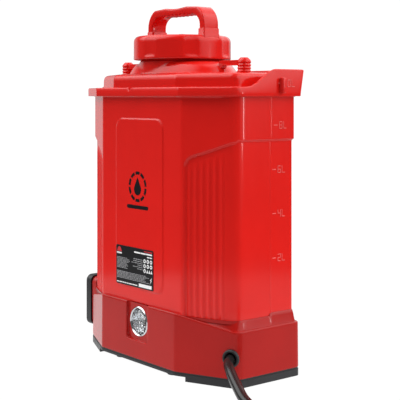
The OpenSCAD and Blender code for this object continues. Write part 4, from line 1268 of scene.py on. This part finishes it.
def swell(obj, cap, pressure=4.0):
    """Stuffs a pad: a voxel remesh, then a short cloth simulation that moves no point past cap."""
    remesh = obj.modifiers.new("voxels", "REMESH")
    remesh.mode = "VOXEL"
    remesh.voxel_size = 4.5*MM
    bake(obj)
    start = np.array([v.co[:] for v in obj.data.vertices])
    pin = obj.vertex_groups.new(name="held")
    top, low = start[:, 2].max(), start[:, 2].min()
    held = [i for i, c in enumerate(start) if c[2] > top - 6*MM or c[2] < low + 6*MM]
    pin.add(held, 1.0, "REPLACE")
    cloth = obj.modifiers.new("stuffing", "CLOTH")
    cloth.settings.use_pressure = True
    cloth.settings.uniform_pressure_force = pressure
    cloth.settings.vertex_group_mass = "held"
    cloth.settings.tension_stiffness = 18
    cloth.settings.shear_stiffness = 8
    cloth.settings.effector_weights.gravity = 0.0
    cloth.settings.quality = 5
    cloth.collision_settings.use_collision = False
    cloth.point_cache.frame_start = 1
    cloth.point_cache.frame_end = 20
    scene = bpy.context.scene
    for f in range(1, 21):
        scene.frame_set(f)
    posed = obj.evaluated_get(bpy.context.evaluated_depsgraph_get())
    end = np.array([v.co[:] for v in posed.data.vertices])
    obj.modifiers.clear()
    scene.frame_set(1)
    move = end - start
    size = np.linalg.norm(move, axis=1, keepdims=True)
    move *= np.minimum(1.0, cap*MM/np.maximum(size, 1e-9))
    obj.data.vertices.foreach_set("co", (start + move).ravel())
    obj.vertex_groups.clear()


def quilt(obj, line):
    """Sewn cross channels and a raised border, pressed into the stuffed pad."""
    co = np.array([v.co[:] for v in obj.data.vertices])/MM
    pts = np.array([p[:] for p, _, _ in line])
    side = np.array([s[:] for _, s, _ in line])
    out = np.array([o[:] for _, _, o in line])
    for i, c in enumerate(co):
        k = int(np.argmin(((pts - c)**2).sum(1)))
        d = c - pts[k]
        v = float(d @ out[k])
        u = float(d @ side[k])
        along = abs(((c[2] - 192 + 13) % 26) - 13)
        press = 1.5*math.exp(-(along/2.0)**2)*ease((22 - abs(u))/3)
        press += 1.3*math.exp(-((abs(u) - 23)/1.5)**2)
        co[i] = c - out[k]*math.copysign(min(press, abs(v)*0.8), v)
    obj.data.vertices.foreach_set("co", (co*MM).ravel())


def mirrored(source, name):
    mesh = source.copy()
    mesh.name = name
    mesh.transform(Matrix.Scale(-1, 4, (1, 0, 0)))
    mesh.flip_normals()
    return mesh


def both(obj, left_name, slot, nodes=(), mat=None):
    """Adds the left strap's copy of a piece of the right strap."""
    other = link(left_name, mirrored(obj.data, left_name))
    finish_piece(other, ROOT, slot, mat, nodes)
    for mod in obj.modifiers:
        if mod.type == "SUBSURF":
            rounding(other)
    return other


def rounding(obj):
    mod = obj.modifiers.new("round", "SUBSURF")
    mod.levels = mod.render_levels = 1


pad = pad_form(3.6).piece("pad_right", "strap_foam", nodes=("shoulder_pad_right",))
pad.data.materials.clear()
swell(pad, 6.0)
quilt(pad, PAD_FRAMES)
pad.data.materials.append(MATS["strap_foam"])
smooth(pad.data, 180)
rounding(pad)
pad_left = both(pad, "pad_left", "strap_foam", ("shoulder_pad_left",))


def tube_ring(centre, a, b, ra, rb, n=10):
    return [centre + a*(ra*math.cos(t)) + b*(rb*math.sin(t)) for t in around(n)]


def piping():
    """Bound edge around the pad."""
    inner = PAD_FRAMES[1:-1]
    halves = [pad_half(min(i + 1, len(inner) - i)) + 0.9 for i in range(len(inner))]
    path = [(p + s*w, s, o) for w, (p, s, o) in zip(halves, inner)]
    back = [(p - s*w, -s, o) for w, (p, s, o) in zip(halves, inner)]
    loop_path = path + back[::-1]
    n = len(loop_path)
    rings = []
    for i, (p, s, o) in enumerate(loop_path):
        t = (loop_path[(i + 1) % n][0] - loop_path[i - 1][0]).normalized()
        a = t.cross(o).normalized()
        rings.append(tube_ring(p, a, o, 1.7, 2.3))
    return Shape().skin(rings, looped=True)


edge = piping().piece("pad_binding_right", "strap_webbing", mat=PRINT["binding"], sharp=180)
both(edge, "pad_binding_left", "strap_webbing", mat=PRINT["binding"])


def ribbon(points, width, thick, per=8, ripple=0.0):
    """A woven strap of rounded thin section along a line, with a faint ripple."""
    rings = []
    for i, (p, s, o) in enumerate(frames(through(points, per))):
        wave = ripple*math.sin(i*0.9)
        rings.append([p + s*u + o*(v + wave*(1 - abs(u)/width)) for u, v in loop(width/2, thick/2, 5, 28)])
    return rings


def folded(line, side, half_w, half_t):
    """A short strap along a bent line, whose width keeps one direction."""
    rings = []
    for i, p in enumerate(line):
        t = (line[min(i + 1, len(line) - 1)] - line[max(i - 1, 0)]).normalized()
        o = t.cross(side).normalized()
        rings.append([p + side*u + o*v for u, v in loop(half_w, half_t, 5, 28)])
    return rings


def web():
    """Loop over the bracket's bar, the lower webbing, and the webbing's folded end."""
    shape = Shape()
    bar = Vector((74, 79.5, 350))
    turn = []
    for k in range(15):
        a = math.radians(-75 + 250*k/14)
        turn.append(bar + Vector((0, 4.0*math.cos(a), 4.0*math.sin(a))))
    line = [Vector((74, 84.6, 336)), Vector((74, 84.2, 344))] + turn[2:-1] + \
        [Vector((74, 76.0, 344)), Vector((74, 76.4, 338)), Vector((74.2, 80.6, 333.4))]
    shape.skin(folded(line, Vector((1, 0, 0)), 15.5, 0.9))
    shape.skin(ribbon([(91, 100.6, 177)] + WEB[1:], 25, 1.8, ripple=0.12))
    end = [Vector((120.2, 86.4, 45)), Vector((120.4, 82.4, 42.2)), Vector((120.5, 81.2, 38)),
           Vector((120.5, 82.6, 34.6)), Vector((120.5, 85.4, 34.0)), Vector((120.3, 88.4, 36.4)),
           Vector((119.4, 90.0, 44)), Vector((117.2, 91.4, 60))]
    return shape.skin(folded(end, Vector((1, 0, -0.12)).normalized(), 11.5, 0.8))


web_right = web().piece("web_right", "strap_webbing", nodes=("strap_web_right",), sharp=60)
both(web_right, "web_left", "strap_webbing", ("strap_web_left",))


def facing(line, width, lift):
    """The webbing sewn along the middle of the pad's outer face."""
    rings = []
    for p, s, o in line:
        out = o if o.y > 0 else -o
        rings.append([p + out*(lift + v) + s*u for u, v in loop(width/2, 0.8, 5, 24)])
    return rings


band = Shape().skin(facing(PAD_FRAMES[3:-1], 25, 6.6))
band_right = band.piece("pad_band_right", "strap_webbing", sharp=60)
both(band_right, "pad_band_left", "strap_webbing")


def stitches():
    """Rows of thread along both edges of the sewn-on band, and a crossed box near its top."""
    shape = Shape()

    def stitch(a, b, out):
        t = (b - a).normalized()
        side = t.cross(out).normalized()
        shape.skin([tube_ring(a + out*(lift - 0.25), side, out, 0.36*w, 0.32*w, 6)
                    for a, lift, w in ((a, 0, 0.4), (a + (b - a)*0.2, 0.28, 1), (a + (b - a)*0.8, 0.28, 1),
                                       (b, 0, 0.4))])
    line = frames(through(PAD, 24))
    dense = line[16:-6]
    for u in (-10.6, 10.6):
        pts = [(p + s*u + (o if o.y > 0 else -o)*7.45, (o if o.y > 0 else -o)) for p, s, o in dense]
        for i in range(0, len(pts) - 1, 2):
            a, b = pts[i], pts[i + 1]
            stitch(a[0], a[0] + (b[0] - a[0])*0.92, a[1])
    (p0, s0, o0), (p1, s1, _) = line[26], line[36]
    out = o0 if o0.y > 0 else -o0
    corners = [p0 + s0*-9, p0 + s0*9, p1 + s1*9, p1 + s1*-9]
    for a, b in ((0, 1), (2, 3), (0, 2), (1, 3)):
        n = 7 if abs(a - b) == 1 else 8
        for k in range(n):
            x = corners[a].lerp(corners[b], k/n) + out*7.75
            y = corners[a].lerp(corners[b], (k + 0.7)/n) + out*7.75
            stitch(x, y, out)
    return shape


thread = stitches().piece("strap_stitches_right", "strap_webbing", mat=PRINT["thread"], weld=False)
both(thread, "strap_stitches_left", "strap_webbing", mat=PRINT["thread"])

# ---- stage, light and finish --------------------------------------------------------------------

FLOOR_R = 0.85
# The room's brightness, and its soft boxes: direction, inner and outer half angle, brightness.
DIM = 0.16
SOFTBOXES = [((-0.55, -0.62, 0.90), 18, 43, 3.8),     # front left, high
             ((0.80, 0.35, 0.62), 18, 44, 2.7),       # right, high
             ((-0.2, 0.75, 0.75), 20, 50, 1.6),       # behind, high
             ((-0.97, 0.15, -0.12), 14, 30, 0.55)]    # white card on the far left


def floor():
    mesh = bpy.data.meshes.new("floor")
    ring = [(0.12 + FLOOR_R*math.cos(t), FLOOR_R*math.sin(t), -0.0004) for t in around(96)]
    mesh.from_pydata(ring, [], [tuple(range(96))])
    obj = link("floor", mesh)
    n = Nodes("floor_white")
    n.set(Base_Color=(0.02, 0.02, 0.02, 1), Roughness=1.0, Specular_IOR_Level=0.0,
          Emission_Color=(1, 1, 1, 1), Emission_Strength=1.0)
    mesh.materials.append(n.mat)


floor()


def studio():
    """A dim room with broad soft boxes, and plain white wherever the camera looks past the object."""
    world = bpy.data.worlds.new("studio")
    bpy.context.scene.world = world
    world.use_nodes = True
    tree = world.node_tree
    tree.nodes.clear()

    def node(kind, **settings):
        n = tree.nodes.new("ShaderNode" + kind)
        for key, value in settings.items():
            setattr(n, key, value)
        return n

    direction = node("TexCoord").outputs["Generated"]
    total = None
    for aim, inner, outer, power in SOFTBOXES:
        dot = node("VectorMath", operation="DOT_PRODUCT")
        tree.links.new(direction, dot.inputs[0])
        dot.inputs[1].default_value = Vector(aim).normalized()
        ramp = node("MapRange", interpolation_type="SMOOTHSTEP")
        tree.links.new(dot.outputs["Value"], ramp.inputs["Value"])
        ramp.inputs["From Min"].default_value = math.cos(math.radians(outer))
        ramp.inputs["From Max"].default_value = math.cos(math.radians(inner))
        ramp.inputs["To Max"].default_value = power
        if total is None:
            total = ramp.outputs[0]
        else:
            plus = node("Math", operation="ADD")
            tree.links.new(total, plus.inputs[0])
            tree.links.new(ramp.outputs[0], plus.inputs[1])
            total = plus.outputs[0]
    plus = node("Math", operation="ADD")
    tree.links.new(total, plus.inputs[0])
    plus.inputs[1].default_value = DIM
    light = node("Background")
    light.inputs["Color"].default_value = (1, 1, 1, 1)
    tree.links.new(plus.outputs[0], light.inputs["Strength"])
    white = node("Background")
    white.inputs["Color"].default_value = (1, 1, 1, 1)
    white.inputs["Strength"].default_value = 1.05
    mix = node("MixShader")
    tree.links.new(node("LightPath").outputs["Is Camera Ray"], mix.inputs[0])
    tree.links.new(light.outputs[0], mix.inputs[1])
    tree.links.new(white.outputs[0], mix.inputs[2])
    tree.links.new(mix.outputs[0], node("OutputWorld").inputs[0])


studio()


def area(name, place, aim, size, size_y, energy):
    data = bpy.data.lights.new(name, "AREA")
    data.shape = "RECTANGLE"
    data.size, data.size_y = size, size_y
    data.energy = energy
    obj = link(name, data)
    obj.location = place
    obj.rotation_euler = (Vector(aim) - Vector(place)).to_track_quat("-Z", "Y").to_euler()
    obj.visible_camera = False
    return obj


area("corner_strip", (1.33, 0.74, 0.33), (0.16, -0.02, 0.34), 0.03, 0.20, 1.2)
bpy.context.scene.view_settings.view_transform = "Standard"

bpy.context.view_layer.update()
